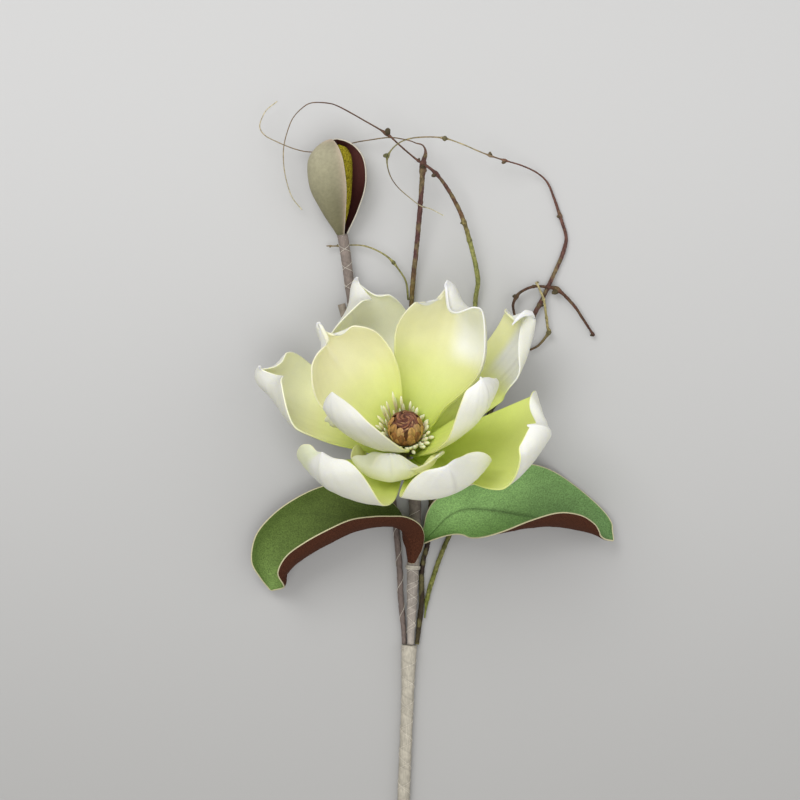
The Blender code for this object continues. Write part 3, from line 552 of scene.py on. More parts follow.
class Look:
    """A procedural material whose colour starts from the tint painted on the points."""

    def __init__(self, name, roughness, specular):
        self.material = bpy.data.materials.new(name)
        self.material.use_nodes = True
        self.nodes, self.links = self.material.node_tree.nodes, self.material.node_tree.links
        self.inputs = self.nodes["Principled BSDF"].inputs
        self.inputs["Roughness"].default_value = roughness
        self.inputs["Specular IOR Level"].default_value = specular
        self.where = self.nodes.new("ShaderNodeTexCoord").outputs["Object"]

    def noise(self, scale, detail=3.0, stretch=None):
        where = self.where
        if stretch:
            mapping = self.nodes.new("ShaderNodeMapping")
            mapping.inputs["Scale"].default_value = stretch
            self.links.new(where, mapping.inputs["Vector"])
            where = mapping.outputs["Vector"]
        made = self.nodes.new("ShaderNodeTexNoise")
        made.inputs["Scale"].default_value = scale
        made.inputs["Detail"].default_value = detail
        self.links.new(where, made.inputs["Vector"])
        return made.outputs["Fac"]

    def spread(self, value, low, high):
        """Map noise, which stays mostly between 0.3 and 0.7, to low and high."""
        made = self.nodes.new("ShaderNodeMapRange")
        made.inputs["From Min"].default_value = 0.3
        made.inputs["From Max"].default_value = 0.7
        made.inputs["To Min"].default_value = low
        made.inputs["To Max"].default_value = high
        self.links.new(value, made.inputs["Value"])
        return made.outputs["Result"]

    def tinted(self, *layers):
        """Colour the surface with the painted tint times each layer of noise, spread from low to high."""
        tint = self.nodes.new("ShaderNodeAttribute")
        tint.attribute_name = "tint"
        colour = tint.outputs["Color"]
        for value, low, high in layers:
            made = self.nodes.new("ShaderNodeVectorMath")
            made.operation = "SCALE"
            self.links.new(colour, made.inputs[0])
            self.links.new(self.spread(value, low, high), made.inputs["Scale"])
            colour = made.outputs["Vector"]
        self.links.new(colour, self.inputs["Base Color"])

    def soft(self, weight, scale):
        self.inputs["Subsurface Weight"].default_value = weight
        self.inputs["Subsurface Scale"].default_value = scale

    def bump(self, heights, distance, strength):
        made = self.nodes.new("ShaderNodeBump")
        made.inputs["Distance"].default_value = distance
        made.inputs["Strength"].default_value = strength
        self.links.new(heights, made.inputs["Height"])
        self.links.new(made.outputs["Normal"], self.inputs["Normal"])


def foam():
    look = Look("petal_foam_look", 0.5, 0.35)
    look.tinted((look.noise(55.0), 0.965, 1.03), (look.noise(1500.0, 2.0), 0.975, 1.02))
    look.links.new(look.spread(look.noise(260.0), 0.42, 0.56), look.inputs["Roughness"])
    look.soft(0.22, 0.004)
    look.inputs["Subsurface Radius"].default_value = (1.0, 0.9, 0.35)
    look.bump(look.noise(1700.0, 2.0), 0.00008, 0.35)
    return look.material


def leaf_cloth():
    look = Look("leaf_cloth_look", 0.75, 0.25)
    weave = look.noise(900.0)
    look.tinted((weave, 0.70, 1.36), (look.noise(45.0), 0.93, 1.08))
    look.bump(weave, 0.00018, 0.5)
    return look.material


def felt():
    look = Look("leaf_felt_look", 0.95, 0.15)
    fibres = look.noise(1300.0, 4.0, (1.0, 0.6, 1.0))
    look.tinted((fibres, 0.62, 1.45))
    look.bump(fibres, 0.0004, 0.7)
    return look.material


def tape():
    look = Look("stem_tape_look", 0.85, 0.3)
    crepe = look.noise(900.0, 3.0, (1.0, 0.28, 1.0))
    look.tinted((crepe, 0.84, 1.16), (look.noise(120.0), 0.9, 1.1))
    look.bump(crepe, 0.0003, 0.6)
    return look.material


def bark():
    look = Look("vine_bark_look", 0.8, 0.3)
    rough = look.noise(700.0, 4.0, (1.0, 0.55, 1.0))
    look.tinted((rough, 0.6, 1.45))
    look.bump(rough, 0.0005, 0.8)
    return look.material


def suede():
    look = Look("husk_suede_look", 0.85, 0.2)
    look.tinted((look.noise(420.0, 4.0), 0.92, 1.08), (look.noise(60.0), 0.95, 1.05))
    look.bump(look.noise(1500.0, 3.0), 0.0002, 0.5)
    return look.material


def flock():
    look = Look("bud_flock_look", 0.95, 0.15)
    grains = look.noise(1100.0)
    look.tinted((grains, 0.45, 1.5))
    look.bump(grains, 0.0008, 0.9)
    return look.material


def shavings():
    look = Look("cone_shavings_look", 0.6, 0.4)
    grain = look.noise(900.0, 4.0, (1.0, 0.3, 1.0))
    look.tinted((grain, 0.7, 1.3))
    look.bump(grain, 0.0003, 0.6)
    return look.material


def cream():
    look = Look("stamen_cream_look", 0.55, 0.5)
    look.tinted((look.noise(900.0), 0.92, 1.06))
    look.soft(0.15, 0.002)
    return look.material


FOAM, LEAF_CLOTH, FELT, TAPE, BARK = foam(), leaf_cloth(), felt(), tape(), bark()
SUEDE, FLOCK, SHAVINGS, CREAM = suede(), flock(), shavings(), cream()

# ---------------------------------------------------------------- petals

# Each petal's inside: how far its lime reaches up it, how warm its cream is, how deep its green is, its
# painted light and shade (a factor: lighter above 1, darker below 1), and past which place along and
# across its lobe turns white, as a painted highlight on the second inner petal and as the white of a
# folded lobe on the sixth outer petal. Its outside: how strong the painted shade along its soft crease
# is, how strong the lime painted shade on its clockwise wing is, and its painted light and shade.
PLAIN_TINT = dict(reach=0.8, warmth=0.1, depth=0.0, inside_painted_shading=1.0, lobe_white_and_highlight=(2.0, 0.0), crease=0.0, wing_painted_shade=0.0,
                  light=0.92)
PETAL_TINTS = {
    "inner_petal_1": dict(reach=0.66, warmth=0.9, inside_painted_shading=0.96),
    "inner_petal_2": dict(reach=0.74, warmth=0.5, inside_painted_shading=0.86, lobe_white_and_highlight=(0.44, -0.1)),
    "inner_petal_3": dict(reach=0.60, warmth=0.3, crease=0.5, light=0.88),
    "inner_petal_4": dict(reach=0.90, warmth=0.2, crease=0.8, light=1.14),
    "outer_petal_1": dict(reach=0.50, warmth=1.0, inside_painted_shading=1.12),
    "outer_petal_2": dict(crease=1.0, wing_painted_shade=0.2, light=1.24),
    "outer_petal_3": dict(reach=0.66, warmth=1.0, inside_painted_shading=1.1, crease=0.3, light=0.84),
    "outer_petal_4": dict(reach=1.0, crease=1.0, light=1.08),
    "outer_petal_5": dict(reach=1.40, depth=0.4, inside_painted_shading=1.08, light=1.04),
    "outer_petal_6": dict(reach=0.90, warmth=0.5, depth=0.2, inside_painted_shading=1.1, lobe_white_and_highlight=(0.42, -0.6), light=1.04),
    "outer_petal_7": dict(reach=1.0, crease=1.0, wing_painted_shade=0.3),
}
INSIDE = ((0, (178, 204, 62)), (0.14, (208, 224, 106)), (0.40, (228, 236, 148)), (0.75, (240, 240, 184)),
          (1.1, (245, 243, 208)), (1.6, (247, 245, 218)))
OUTSIDE = ((0, (188, 206, 84)), (0.10, (204, 216, 126)), (0.25, (216, 221, 168)), (0.45, (225, 226, 200)),
           (0.7, (230, 230, 216)), (1.0, (234, 234, 228)))
DEEP_GREEN, WARM_CREAM = (190, 204, 104), (250, 243, 210)
TIP_WHITE, WING_SHADE_LIME = (244, 244, 240), (206, 222, 112)
GREEN_SHARE, CREAM_SHARE, TIP_SHARE = 0.6, 0.55, 0.9
# Where each band of colour begins along or across a petal, and over what width it comes in
CREAM_RISE, CREAM_FALL, TIP_RISE, WING_RISE = (0.4, 0.3), (0.75, 0.2), (0.93, 0.06), (0.35, 0.3)
LOBE_SOFT_ACROSS, LOBE_SOFT_ALONG = 0.3, 0.15
BRIGHTEST = 0.96                # no petal's colour is lighter than this
# Painted shade: the rim is a little darker than the inside, so that it does not show as a bright line where
# it catches the lamps.
RIM_PAINTED_SHADE = 0.94                # how light a petal's rim is beside its inside
CREASE_WIDTH, CREASE_PAINTED_SHADE = 0.05, 0.16
FOAM_SHELL = 1.4                # how thick the foam looks
PETAL_FINENESS = 3              # cells of the look for each cell of the solid, each way
WAVE_HEIGHT, STRAND_HEIGHT = 0.45, 0.12


def petal_colours(name, v, u):
    """Linear colours of a petal's inside, outside and rim at each place along and across it."""
    tint = {**PLAIN_TINT, **PETAL_TINTS[name]}
    lobe_along, lobe_across = tint["lobe_white_and_highlight"]
    inside = stops(v / tint["reach"], INSIDE)
    inside = mixed(inside, DEEP_GREEN, GREEN_SHARE * tint["depth"] * (1 - 0.4 * v))
    warm = tint["warmth"] * ramp(v, *CREAM_RISE) * (1 - ramp(v, *CREAM_FALL))
    inside = mixed(inside, WARM_CREAM, CREAM_SHARE * warm)
    # The lobe's white is a painted highlight on the second inner petal and the white outside of a folded-over
    # lobe on the sixth outer petal; the tip's white is the foam's own.
    lobe_white_and_highlight = ramp(u, lobe_across, LOBE_SOFT_ACROSS) * ramp(v, lobe_along, LOBE_SOFT_ALONG)
    white_and_highlight = np.maximum(TIP_SHARE * ramp(v, *TIP_RISE), lobe_white_and_highlight)
    # Painted light and shade: the inside is lifted where the petal lies in shade and dimmed where it faces
    # the lamps.
    inside = np.minimum(mixed(tint["inside_painted_shading"] * inside, TIP_WHITE, white_and_highlight), BRIGHTEST)
    # Painted light and shade: the outside is scaled by its light factor, lifted where the petal lies in shade
    # and dimmed where the lamps catch it; the lime on the clockwise wing is painted shade on the half of the
    # outside that faces away from the light.
    outside = mixed(stops(v, OUTSIDE) * tint["light"], WING_SHADE_LIME, tint["wing_painted_shade"] * ramp(u, *WING_RISE))
    # Painted shade along the soft crease down the middle of the outside, toward the tip.
    crease_shade_share = tint["crease"] * np.exp(-(u / CREASE_WIDTH) ** 2) * ramp(v, 0.6, 0.2) * ramp(1 - v, 0, 0.08)
    outside = np.minimum(outside * (1 - CREASE_PAINTED_SHADE * crease_shade_share)[..., None], BRIGHTEST)
    return inside, outside, RIM_PAINTED_SHADE * inside


def petal_piece(name, grid):
    """A foam petal with soft waves, and fine creases that fade toward its tip."""
    fine = refine(grid, PETAL_FINENESS)
    v, u = sheet_places(sheet_heights(len(fine) - 1), fine.shape[1])
    seed = sum(map(ord, name)) % 17
    ripple = np.stack([u * 7.0, v * 1.6, np.full_like(u, seed * 3.1)], -1)
    waves = WAVE_HEIGHT * speckle(ripple, 1.0, seed) * ramp(v, 0, 0.2) * ramp(1 - v, 0, 0.15)
    strands = np.stack([u * 22.0, v * 2.2, np.full_like(u, seed)], -1)
    creases = STRAND_HEIGHT * speckle(strands, 1.0, seed + 5) * (1 - v)
    fine = fine + (waves + creases)[..., None] * grid_normals(fine)
    soup = Soup()
    shell(soup, fine, FOAM_SHELL, *petal_colours(name, v, u))
    soup.piece(name + "_foam", [name], [FOAM])


def build_petals():
    """Make the petals from the inside out; return their middle sheets with their normals."""
    laid = []
    for kind, shapes, ring in (("inner", INNER_PETALS, INNER_RING), ("outer", OUTER_PETALS, OUTER_RING)):
        for number, shape in enumerate(shapes, 1):
            name = f"{kind}_petal_{number}"
            grid = pulled(petal_grid(shape, ring, PETAL_ROWS, PETAL_COLUMNS), name)
            grid = keep_outside(grid, laid, PETAL_CLEARANCE)
            laid.append((grid.reshape(-1, 3), grid_normals(grid).reshape(-1, 3)))
            petal_piece(name, grid)
    return laid


# ---------------------------------------------------------------- leaves

# The right leaf is lighter near its foot: painted light where the petals above it shade it.
LEAF_TOPS = {
    "leaf_left": ((0.0, (64, 78, 30)), (0.3, (70, 86, 32)), (0.6, (82, 98, 42)), (0.8, (98, 120, 58)),
                  (1.0, (110, 136, 72))),
    "leaf_right": ((0.0, (94, 130, 64)), (0.2, (142, 182, 110)), (0.5, (138, 176, 108)),
                   (0.8, (106, 140, 86)), (1.0, (92, 122, 74))),
}
LEAF_RIM, LEAF_BACK = (196, 190, 154), (74, 42, 28)
LEAF_SHELL = 1.2                # how thick the cloth looks
LEAF_CREASE = 0.045             # half width of the crease, as a share of the leaf's
LEAF_FINENESS = 6               # cells of the look for each cell of the solid, each way
LEAF_SWELL, VEIN_DEPTH, CREASE_DEPTH = 0.7, 0.22, 0.6
SIDE_VEINS, VEIN_SLANT = 11, 2.6
SIDE_FADE, TIP_FADE, FOOT_FADE = 0.25, 0.2, 0.15
VEIN_PAINTED_SHADE, MIDRIB_PAINTED_SHADE, PATCH_SHADE = 0.10, 0.5, 0.05


def build_leaf(name, leaf):
    """A cloth leaf, felt below, with a pressed midrib and side veins, and painted shade in them."""
    grid = refine(leaf_grid(rows=16, columns=8, **leaf), LEAF_FINENESS)
    v, u = sheet_places(np.linspace(0, 1, len(grid)), grid.shape[1])
    fade = ramp(1 - np.abs(u), 0, SIDE_FADE) * ramp(1 - v, 0, TIP_FADE) * ramp(v, 0, FOOT_FADE)
    veins = fade * np.maximum(0, np.cos(2 * pi * (SIDE_VEINS * v - VEIN_SLANT * np.abs(u)))) ** 10
    midrib = np.exp(-(u / LEAF_CREASE) ** 2) * ramp(0.8 - v, 0, 0.3)
    relief = LEAF_SWELL * fade * speckle(grid, 0.035, 3.0) - VEIN_DEPTH * veins - CREASE_DEPTH * midrib
    grid = grid + relief[..., None] * grid_normals(grid)
    # Painted shade in the pressed veins and midrib; the patches are the cloth's own uneven tone.
    shade = 1.0 - VEIN_PAINTED_SHADE * veins - MIDRIB_PAINTED_SHADE * midrib + PATCH_SHADE * speckle(grid, 0.08, 8.0)
    top = stops(v, LEAF_TOPS[name]) * shade[..., None]
    back, rim = (np.broadcast_to(srgb(*colour), top.shape) for colour in (LEAF_BACK, LEAF_RIM))
    soup = Soup()
    shell(soup, grid, LEAF_SHELL, top, back, rim, (0, 1, 2))
    soup.piece(name + "_cloth", [name], [LEAF_CLOTH, FELT, SUEDE])


# ---------------------------------------------------------------- taped stems

STEM_SPACING = 0.7              # between the rings of a stem, and between the points of its threads
TAPE_SINK, TAPE_LAP, TAPE_LUMPS = 0.28, 0.24, 0.25
SEAM_PLACE, SEAM_WIDTH, SEAM_PAINTED_SHADE = 0.96, 0.04, 0.22
LAP_PAINTED_LIGHT, STAIN_SHADE = 0.10, 0.10
THREAD_COLOUR, THREAD_RADIUS, THREAD_SINK = (214, 208, 196), 0.17, 0.1
GREY_TAPE = ((0, (120, 112, 102)), (0.25, (112, 102, 94)), (0.45, (134, 126, 118)), (1, (164, 156, 148)))
PALE_TAPE = ((0, (178, 172, 158)), (0.5, (172, 166, 152)), (1, (168, 162, 148)))
MAUVE_TAPE = ((0, (130, 119, 112)), (0.3, (124, 113, 106)), (0.6, (106, 94, 88)), (1, (114, 102, 96)))
# Each stem: its route, its colours, the pitch of its tape, its sides, and its threads, each with the
# pitch, the start, the end and the share of a turn it starts at
TAPED_STEMS = {
    "main_stem": (MAIN_STEM, GREY_TAPE, 11.0, 20,
                  ((16, 60, 166, 0.1), (13, 95, 166, 0.6), (-21, 80, 166, 0.3))),
    "wrapped_stem": (WRAPPED_STEM, PALE_TAPE, 15.0, 24,
                     ((17, 1, 215, 0.0), (-23, 12, 200, 0.3), (1.1, 1.0, 3.6, 0.1))),
    "bud_stem": (BUD_STEM, MAUVE_TAPE, 12.0, 18,
                 ((15, 4, 90, 0.2), (-17, 8, 80, 0.7), (1.2, 1.2, 5.0, 0.0), (24, 200, 345, 0.4))),
}


def thread(soup, place, path, radii, pitch, start, end, shift):
    """A fine thread wound round a stem, with one turn for each pitch along it."""
    _, across, other = frames_along(path)
    steps = np.arange(start, min(end, place[-1] - 1), STEM_SPACING)
    turn = (2 * pi * (steps / pitch + shift))[:, None]
    centre, x, y = (read_along(steps, place, table) for table in (path, across, other))
    out = np.interp(steps, place, radii - THREAD_SINK) + 0.75 * THREAD_RADIUS
    route = centre + out[:, None] * (np.cos(turn) * x + np.sin(turn) * y)
    tube(soup, route, np.full(len(steps), THREAD_RADIUS), srgb(*THREAD_COLOUR), 6)


def build_stem(name, route, shades, pitch, sides, threads):
    """A stem wound with tape, which is thickest just past each seam, with painted shade at each seam and
    painted light on each lap, and with threads over it.
    """
    place, path, radii = even_route(route, STEM_SPACING)
    phase = place[:, None] / pitch + np.arange(sides) / sides
    step = phase - np.floor(phase)
    lap = (1 - step) ** 4
    skin = path[:, None] + radii[:, None, None] * spokes_along(path, sides)
    wide = radii[:, None] - TAPE_SINK + TAPE_LAP * lap + TAPE_LUMPS * speckle(skin, 0.16, len(name))
    seam = np.exp(-((step - SEAM_PLACE) / SEAM_WIDTH) ** 2)
    # Painted shade in the step at each seam and painted light on the raised lap just past it; the stains are
    # the tape's own.
    shade = 1.0 + LAP_PAINTED_LIGHT * lap - SEAM_PAINTED_SHADE * seam + STAIN_SHADE * speckle(skin, 0.5, 2.0)
    soup = Soup()
    tube(soup, path, wide, stops(place / place[-1], shades)[:, None] * shade[..., None], sides)
    for wound in threads:
        thread(soup, place, path, radii, *wound)
    soup.piece(name + "_tape", [name], [TAPE])


# ---------------------------------------------------------------- twigs

# Each twig: its route, the colours along it, and its knots: place (x, y) and size
TWIGS = {
    "vine_main": (
        VINE_MAIN,
        ((0, (74, 66, 44)), (0.1, (54, 42, 36)), (0.3, (84, 64, 54)), (0.42, (96, 76, 66)),
         (0.5, (112, 96, 60)), (0.54, (90, 64, 62)), (0.68, (98, 72, 66)), (0.76, (126, 112, 86)),
         (0.85, (116, 96, 82)), (1, (180, 172, 144))),
        ((-8.5, 285, 2.6), (-9.5, 281, 2.2), (-12.0, 289, 1.2), (-19, 256, 0.9))),
    "vine_arc": (
        VINE_ARC,
        ((0, (92, 84, 60)), (0.26, (120, 122, 76)), (0.40, (134, 136, 84)), (0.46, (104, 82, 62)),
         (0.54, (92, 66, 60)), (0.64, (96, 74, 60)), (0.75, (98, 76, 64)), (0.88, (132, 118, 94)),
         (1, (190, 184, 156))),
        ((-38.5, 312, 3.4), (1.5, 277.5, 2.4), (26.8, 238, 1.6), (31.5, 223, 1.5), (-12, 290, 1.4))),
    "vine_loop": (
        VINE_LOOP,
        ((0, (116, 122, 60)), (0.12, (98, 98, 56)), (0.25, (78, 72, 54)), (0.38, (84, 78, 58)),
         (0.45, (92, 66, 60)), (0.60, (104, 76, 68)), (0.70, (112, 84, 72)), (0.76, (160, 150, 120)),
         (0.82, (134, 120, 92)), (0.88, (120, 118, 80)), (0.92, (108, 92, 74)), (1, (198, 192, 164))),
        ((9.4, 307.4, 2.6), (48.2, 293.8, 2.2), (60.5, 290.2, 2.2), (-39.6, 292.5, 2.6), (-8, 250.5, 0.9),
         (109, 245, 1.7), (91, 169, 1.7), (98, 184, 1.6))),
    "shoot_hook": (
        SHOOT_HOOK,
        ((0, (84, 60, 50)), (0.5, (92, 66, 54)), (1, (80, 62, 50))),
        ((104.8, 181.5, 3.4), (70.6, 175.4, 2.2), (136.8, 143.5, 1.5), (86, 184.5, 1.2))),
    "shoot_short": (
        SHOOT_SHORT,
        ((0, (176, 166, 130)), (0.4, (150, 142, 100)), (1, (86, 68, 52))),
        ((98.2, 145.5, 2.4), (94.3, 173.5, 1.3), (88, 187.5, 1.3), (96.6, 158, 1.0))),
    "tendril": (
        TENDRIL,
        ((0, (122, 122, 76)), (0.3, (138, 136, 90)), (0.8, (150, 142, 104)), (1, (128, 112, 84))),
        ((-33.5, 204.6, 2.0), (-80.7, 219.1, 1.0), (-87, 219.3, 0.9))),
}
SLENDER_ENDS = ("vine_main", "vine_arc", "vine_loop")
THINNEST = 0.42                 # radius at the finest twig ends
TWIG_SPACING, TWIG_SIDES = 0.8, 12
BARK_GAIN, BARK_CONTRAST = 1.25, 1.18
COARSE_LUMPS, FINE_LUMPS = 0.13, 0.14
COARSE_SHADE, FINE_SHADE, MOSS_SHARE = 0.3, 0.45, 0.32
MOSS, KNOT_GREEN = (138, 134, 84), (84, 84, 58)
KNOT_SWELL, SWELL_REACH = 0.35, 1.1     # of the twig at a knot, for each millimetre of the knot's size
ON_TWIG = 0.8                   # a knot placed nearer than this to the middle line has no side of its own
KNOT_SIDES = 12
KNOT_FOOT, KNOT_TIP = -0.9, 1.15
KNOT_WIDTHS = (0.15, 0.62, 0.85, 0.92, 0.86, 0.78, 0.72, 0.52, 0.12)


def knot(soup, centre, along, out, size, colour, seed):
    """A leaf scar: a lumpy short collar with a blunt bud that leans out to one side."""
    side = np.cross(along, out)
    lean = unit(out * 0.9 + along * 0.45)
    across = np.cross(lean, side)
    turn = (2 * pi * np.arange(KNOT_SIDES) / KNOT_SIDES)[None, :, None]
    heights = np.linspace(KNOT_FOOT, KNOT_TIP, len(KNOT_WIDTHS))[:, None, None]
    widths = np.array(KNOT_WIDTHS)[:, None, None]
    spokes = np.cos(turn) * side + 0.85 * np.sin(turn) * across
    ring = centre + size * (0.35 * out + heights * lean + widths * spokes)
    ring = ring + 0.16 * speckle(ring, 1.44 / size, seed)[..., None] * (ring - centre)
    shade = 0.72 + 0.25 * (heights - KNOT_FOOT)
    soup.add(ring, closed_faces(len(KNOT_WIDTHS), KNOT_SIDES), np.broadcast_to(shade * colour, ring.shape))


def build_twig(number, name, route, shades, knots):
    """A lumpy, mottled twig with patches of moss, swollen at its knots."""
    place, path, radii = even_route(route, TWIG_SPACING)
    if name in SLENDER_ENDS:
        radii = np.maximum(radii * (0.52 + 0.48 * ramp(radii, 1.4, 0.5)), THINNEST)
    tangent, across, other = frames_along(path)
    skin = path[:, None] + radii[:, None, None] * spokes_along(path, TWIG_SIDES)
    coarse = speckle(skin, 0.22, number)
    fine = speckle(skin, 0.8, number + 4.0)
    patches = speckle(skin, 0.13, number + 9.0)
    moss = ramp(patches + 0.15 * coarse, 0.05, 0.25) * ramp(radii[:, None], 0.9, 0.9)
    bare = BARK_GAIN * stops(place / place[-1], shades)[:, None] ** BARK_CONTRAST
    colour = mixed(bare, MOSS, MOSS_SHARE * moss)
    colour = colour * (1.0 + FINE_SHADE * fine + COARSE_SHADE * coarse)[..., None]
    wide = radii[:, None] * (1.0 + COARSE_LUMPS * coarse + FINE_LUMPS * fine)
    nearest = [np.hypot(path[:, 0] - x, path[:, 1] - y).argmin() for x, y, _ in knots]
    for near, (_, _, size) in zip(nearest, knots):
        off = (place - place[near]) / (SWELL_REACH * size)
        wide = wide + (KNOT_SWELL * size * np.exp(-off ** 2))[:, None]
    soup = Soup()
    tube(soup, path, wide, colour, TWIG_SIDES)
    for k, (near, (x, y, size)) in enumerate(zip(nearest, knots)):
        out = np.array((x, y, path[near, 2])) - path[near]
        if np.linalg.norm(out) <= ON_TWIG:
            out = across[near] * cos(k * 2.3) + other[near] * sin(k * 2.3)
        out = unit(out - (out @ tangent[near]) * tangent[near])
        centre = path[near] + out * 0.6 * radii[near]
        shade = 0.35 * colour[near].mean(0) + 0.4 * srgb(*KNOT_GREEN)
        knot(soup, centre, tangent[near], out, size, shade, k + number)
    soup.piece(name + "_bark", [name], [BARK])


# ---------------------------------------------------------------- bud

HUSKS = (("husk_front", HUSK_FRONT_ARC, HUSK_FRONT_SPLAY), ("husk_back", HUSK_BACK_ARC, 0.0))
HUSK_CELLS = (80, 48)
HUSK_FOLDS, HUSK_LUMPS, HUSK_PAINTED_SHADE, PINK_SHARE = 0.5, 0.3, 0.34, 0.55
HUSK_SHELL = 1.0                # how thick the husks look
HUSK_OUTER = ((0, (116, 111, 88)), (0.15, (136, 131, 106)), (0.45, (160, 155, 132)), (0.75, (184, 178, 157)),
              (1, (186, 176, 158)))
# The inside's maroon is the husk's own; its darkening toward the foot is painted shade deep in the husk.
HUSK_INNER = ((0, (50, 20, 18)), (0.35, (84, 42, 38)), (0.7, (124, 74, 68)), (1, (112, 64, 60)))
HUSK_PINK, HUSK_RIM = (208, 184, 166), (204, 198, 184)
HUSK_OLIVE = np.array([0.88, 0.89, 0.80])
CORE_MUSTARD = (150, 138, 34)
BUD_AXIS = BUD_TIP - BUD_FOOT


def build_husk(name, arc, splay):
    """A husk of the bud, a part of a turned shell that leans out by its splay in degrees."""
    lean = BUD_AXIS + Vector((-sin(radians(splay)), 0, 0.4 * sin(radians(splay)))) * BUD_AXIS.length
    outline = [(height, max(radius - HUSK_THICKNESS / 2, 0.6)) for height, radius in HUSK_OUTLINE]
    grid = turned(outline, BUD_FOOT, lean, arc, *HUSK_CELLS)
    v, u = sheet_places(np.linspace(0, 1, len(grid)), grid.shape[1])
    folds = HUSK_FOLDS * np.sin(u * 5.0 + 0.8) * ramp(v, 0, 0.2) * (1 - v)
    grid = grid + (folds + HUSK_LUMPS * speckle(grid, 0.07, 2.0))[..., None] * grid_normals(grid)
    # Painted shade: the outside darkens toward one side, most near the foot.
    shade = 1.0 - HUSK_PAINTED_SHADE * ramp(u, -0.4, 1.3) * (1 - 0.4 * v)
    pink = np.maximum(np.abs(u) ** 8, ramp(v, 0.86, 0.14))
    outer = mixed(stops(v, HUSK_OUTER) * shade[..., None] * HUSK_OLIVE, HUSK_PINK, PINK_SHARE * pink)
    outer = outer * (1.0 + 0.05 * speckle(grid, 0.3, 4.0))[..., None]
    soup = Soup()
    shell(soup, grid, HUSK_SHELL, outer, stops(v, HUSK_INNER), np.broadcast_to(srgb(*HUSK_RIM), outer.shape))
    soup.piece(name + "_suede", [name], [SUEDE])


def build_bud_core():
    """The flocked core, a little slimmer at its foot than the solid."""
    tall = CORE_OUTLINE[-1][0]
    slim = [(height, min(0.62 + 0.44 * height / tall, 0.98) * radius) for height, radius in CORE_OUTLINE]
    core = [(slim[0][0], 0.3)] + slim + [(slim[-1][0] + 0.6, 0.3)]
    soup = Soup()
    closed_turned(soup, core, BUD_FOOT, BUD_AXIS, (130, 96), CORE_MUSTARD, 0.8, 0.7, 0.9)
    soup.piece("bud_core_flock", ["bud_core"], [FLOCK])


# ---------------------------------------------------------------- blossom heart

BLOSSOM_AXIS = blossom_axes()[0]
BLOSSOM_TURN = np.array(axis_rotation(BLOSSOM_AXIS))
CONE_CENTRE = np.array(BLOSSOM_BASE) + BLOSSOM_AXIS * CONE_HEIGHT
DOME_INSET = 1.1                # the ball under the shavings is this much smaller than the solid
SHAVING_INSET = 0.35
DOME_BROWN = (104, 64, 44)
# Rings of scales: how far from the cone's top in degrees, how many, how wide and how long
SCALE_RINGS = ((98, 14, 6.2, 7.5), (78, 12, 7.4, 8.5), (54, 9, 7.2, 7.5))
SCALE_TANS = ((240, 182, 118), (248, 194, 122), (228, 170, 110), (244, 192, 136), (196, 132, 88),
              (160, 102, 76))
CURLS = 46
CURL_BROWNS = ((152, 92, 74), (174, 110, 84), (136, 82, 72), (206, 146, 104), (188, 126, 100), (124, 74, 64),
               (226, 176, 128))
# Layers of stamens: how many, reach, height, length and radius of the anther, and how much the upper
# ones are raised
STAMEN_LAYERS = ((22, 17.0, 16.0, 6.5, 1.45, 12.0), (20, 20.6, 19.0, 7.0, 1.7, 24.0),
                 (18, 24.0, 16.5, 6.5, 1.75, 18.0))
STALK_KNEES = ((6.4, 5.5), (10.8, 8.0), (14.6, 11.0))
STALK_RADIUS, STALK_TIP = 0.42, 0.3
STAMEN_CREAM = ((0, (150, 156, 84)), (0.3, (206, 190, 160)), (0.42, (214, 206, 172)), (0.7, (234, 234, 190)),
                (1.4, (244, 244, 216)))
COLLAR_GREEN = (150, 160, 80)
COLLAR_RADIUS, COLLAR_HEIGHT = 7.2, 1.3


def on_dome(polar, turn, lift):
    """A point at the polar angle and turn round the cone's axis, lifted off its surface."""
    local = (np.sin(polar) * np.sin(turn), np.sin(polar) * np.cos(turn), np.cos(polar) + 0 * turn)
    radius = CONE_RADIUS - SHAVING_INSET + lift
    return CONE_CENTRE + radius[..., None] * np.stack(local, -1) @ BLOSSOM_TURN.T


def sliver(soup, cells, thickness, colours, rim_shade):
    """A thin shaving whose back and rim are darker than its face."""
    fine = refine(colours, 2)
    shell(soup, refine(cells, 2), thickness, fine, 0.6 * fine, rim_shade * fine)


def scale(soup, polar, turn, wide, long, lift, tone, seed):
    """A stiff wedge that lies on the cone with its blunt point toward the top."""
    t = np.linspace(-1, 1, 9)[:, None]
    u = np.linspace(-1, 1, 7)[None, :]
    half = wide / 2 * np.clip(1 - ((t + 1) / 2.06) ** 2.6, 0, 1) ** 0.65 + 0.1
    angle = polar - t * long / 2 / CONE_RADIUS + 0 * u
    swing = turn + u * half / (CONE_RADIUS * np.sin(angle))
    height = lift + 0.25 * (1 - u ** 2) + 0.3 * t
    streaks = 1 + 0.16 * np.sin(5.5 * u + seed) + 0.12 * np.cos(11 * u * (1.4 - 0.4 * t) + 2 * seed)
    sliver(soup, on_dome(angle, swing, height), 0.5, tone * (streaks * (0.82 + 0.18 * t))[..., None], 0.55)


def curl(soup, polar, turn, wide, long, tone, seed):
    """A thin shaving that curls round the top of the cone."""
    t = np.linspace(-1, 1, 13)[:, None]
    u = np.linspace(-1, 1, 5)[None, :]
    half = wide / 2 * (1 - np.abs(t) ** 2.5) ** 0.7 + 0.12
    swing = turn + t * min(long / 2 / (CONE_RADIUS * np.sin(polar)), 1.6) + 0 * u
    angle = polar + 0.16 * t + u * half / CONE_RADIUS
    height = 0.55 + 0.35 * u + 0.25 * np.sin(3 * t + seed)
    grain = 1 + 0.22 * np.sin(6 * u + seed + 2 * t)
    sliver(soup, on_dome(angle, swing, height), 0.4, tone * grain[..., None], 0.6)


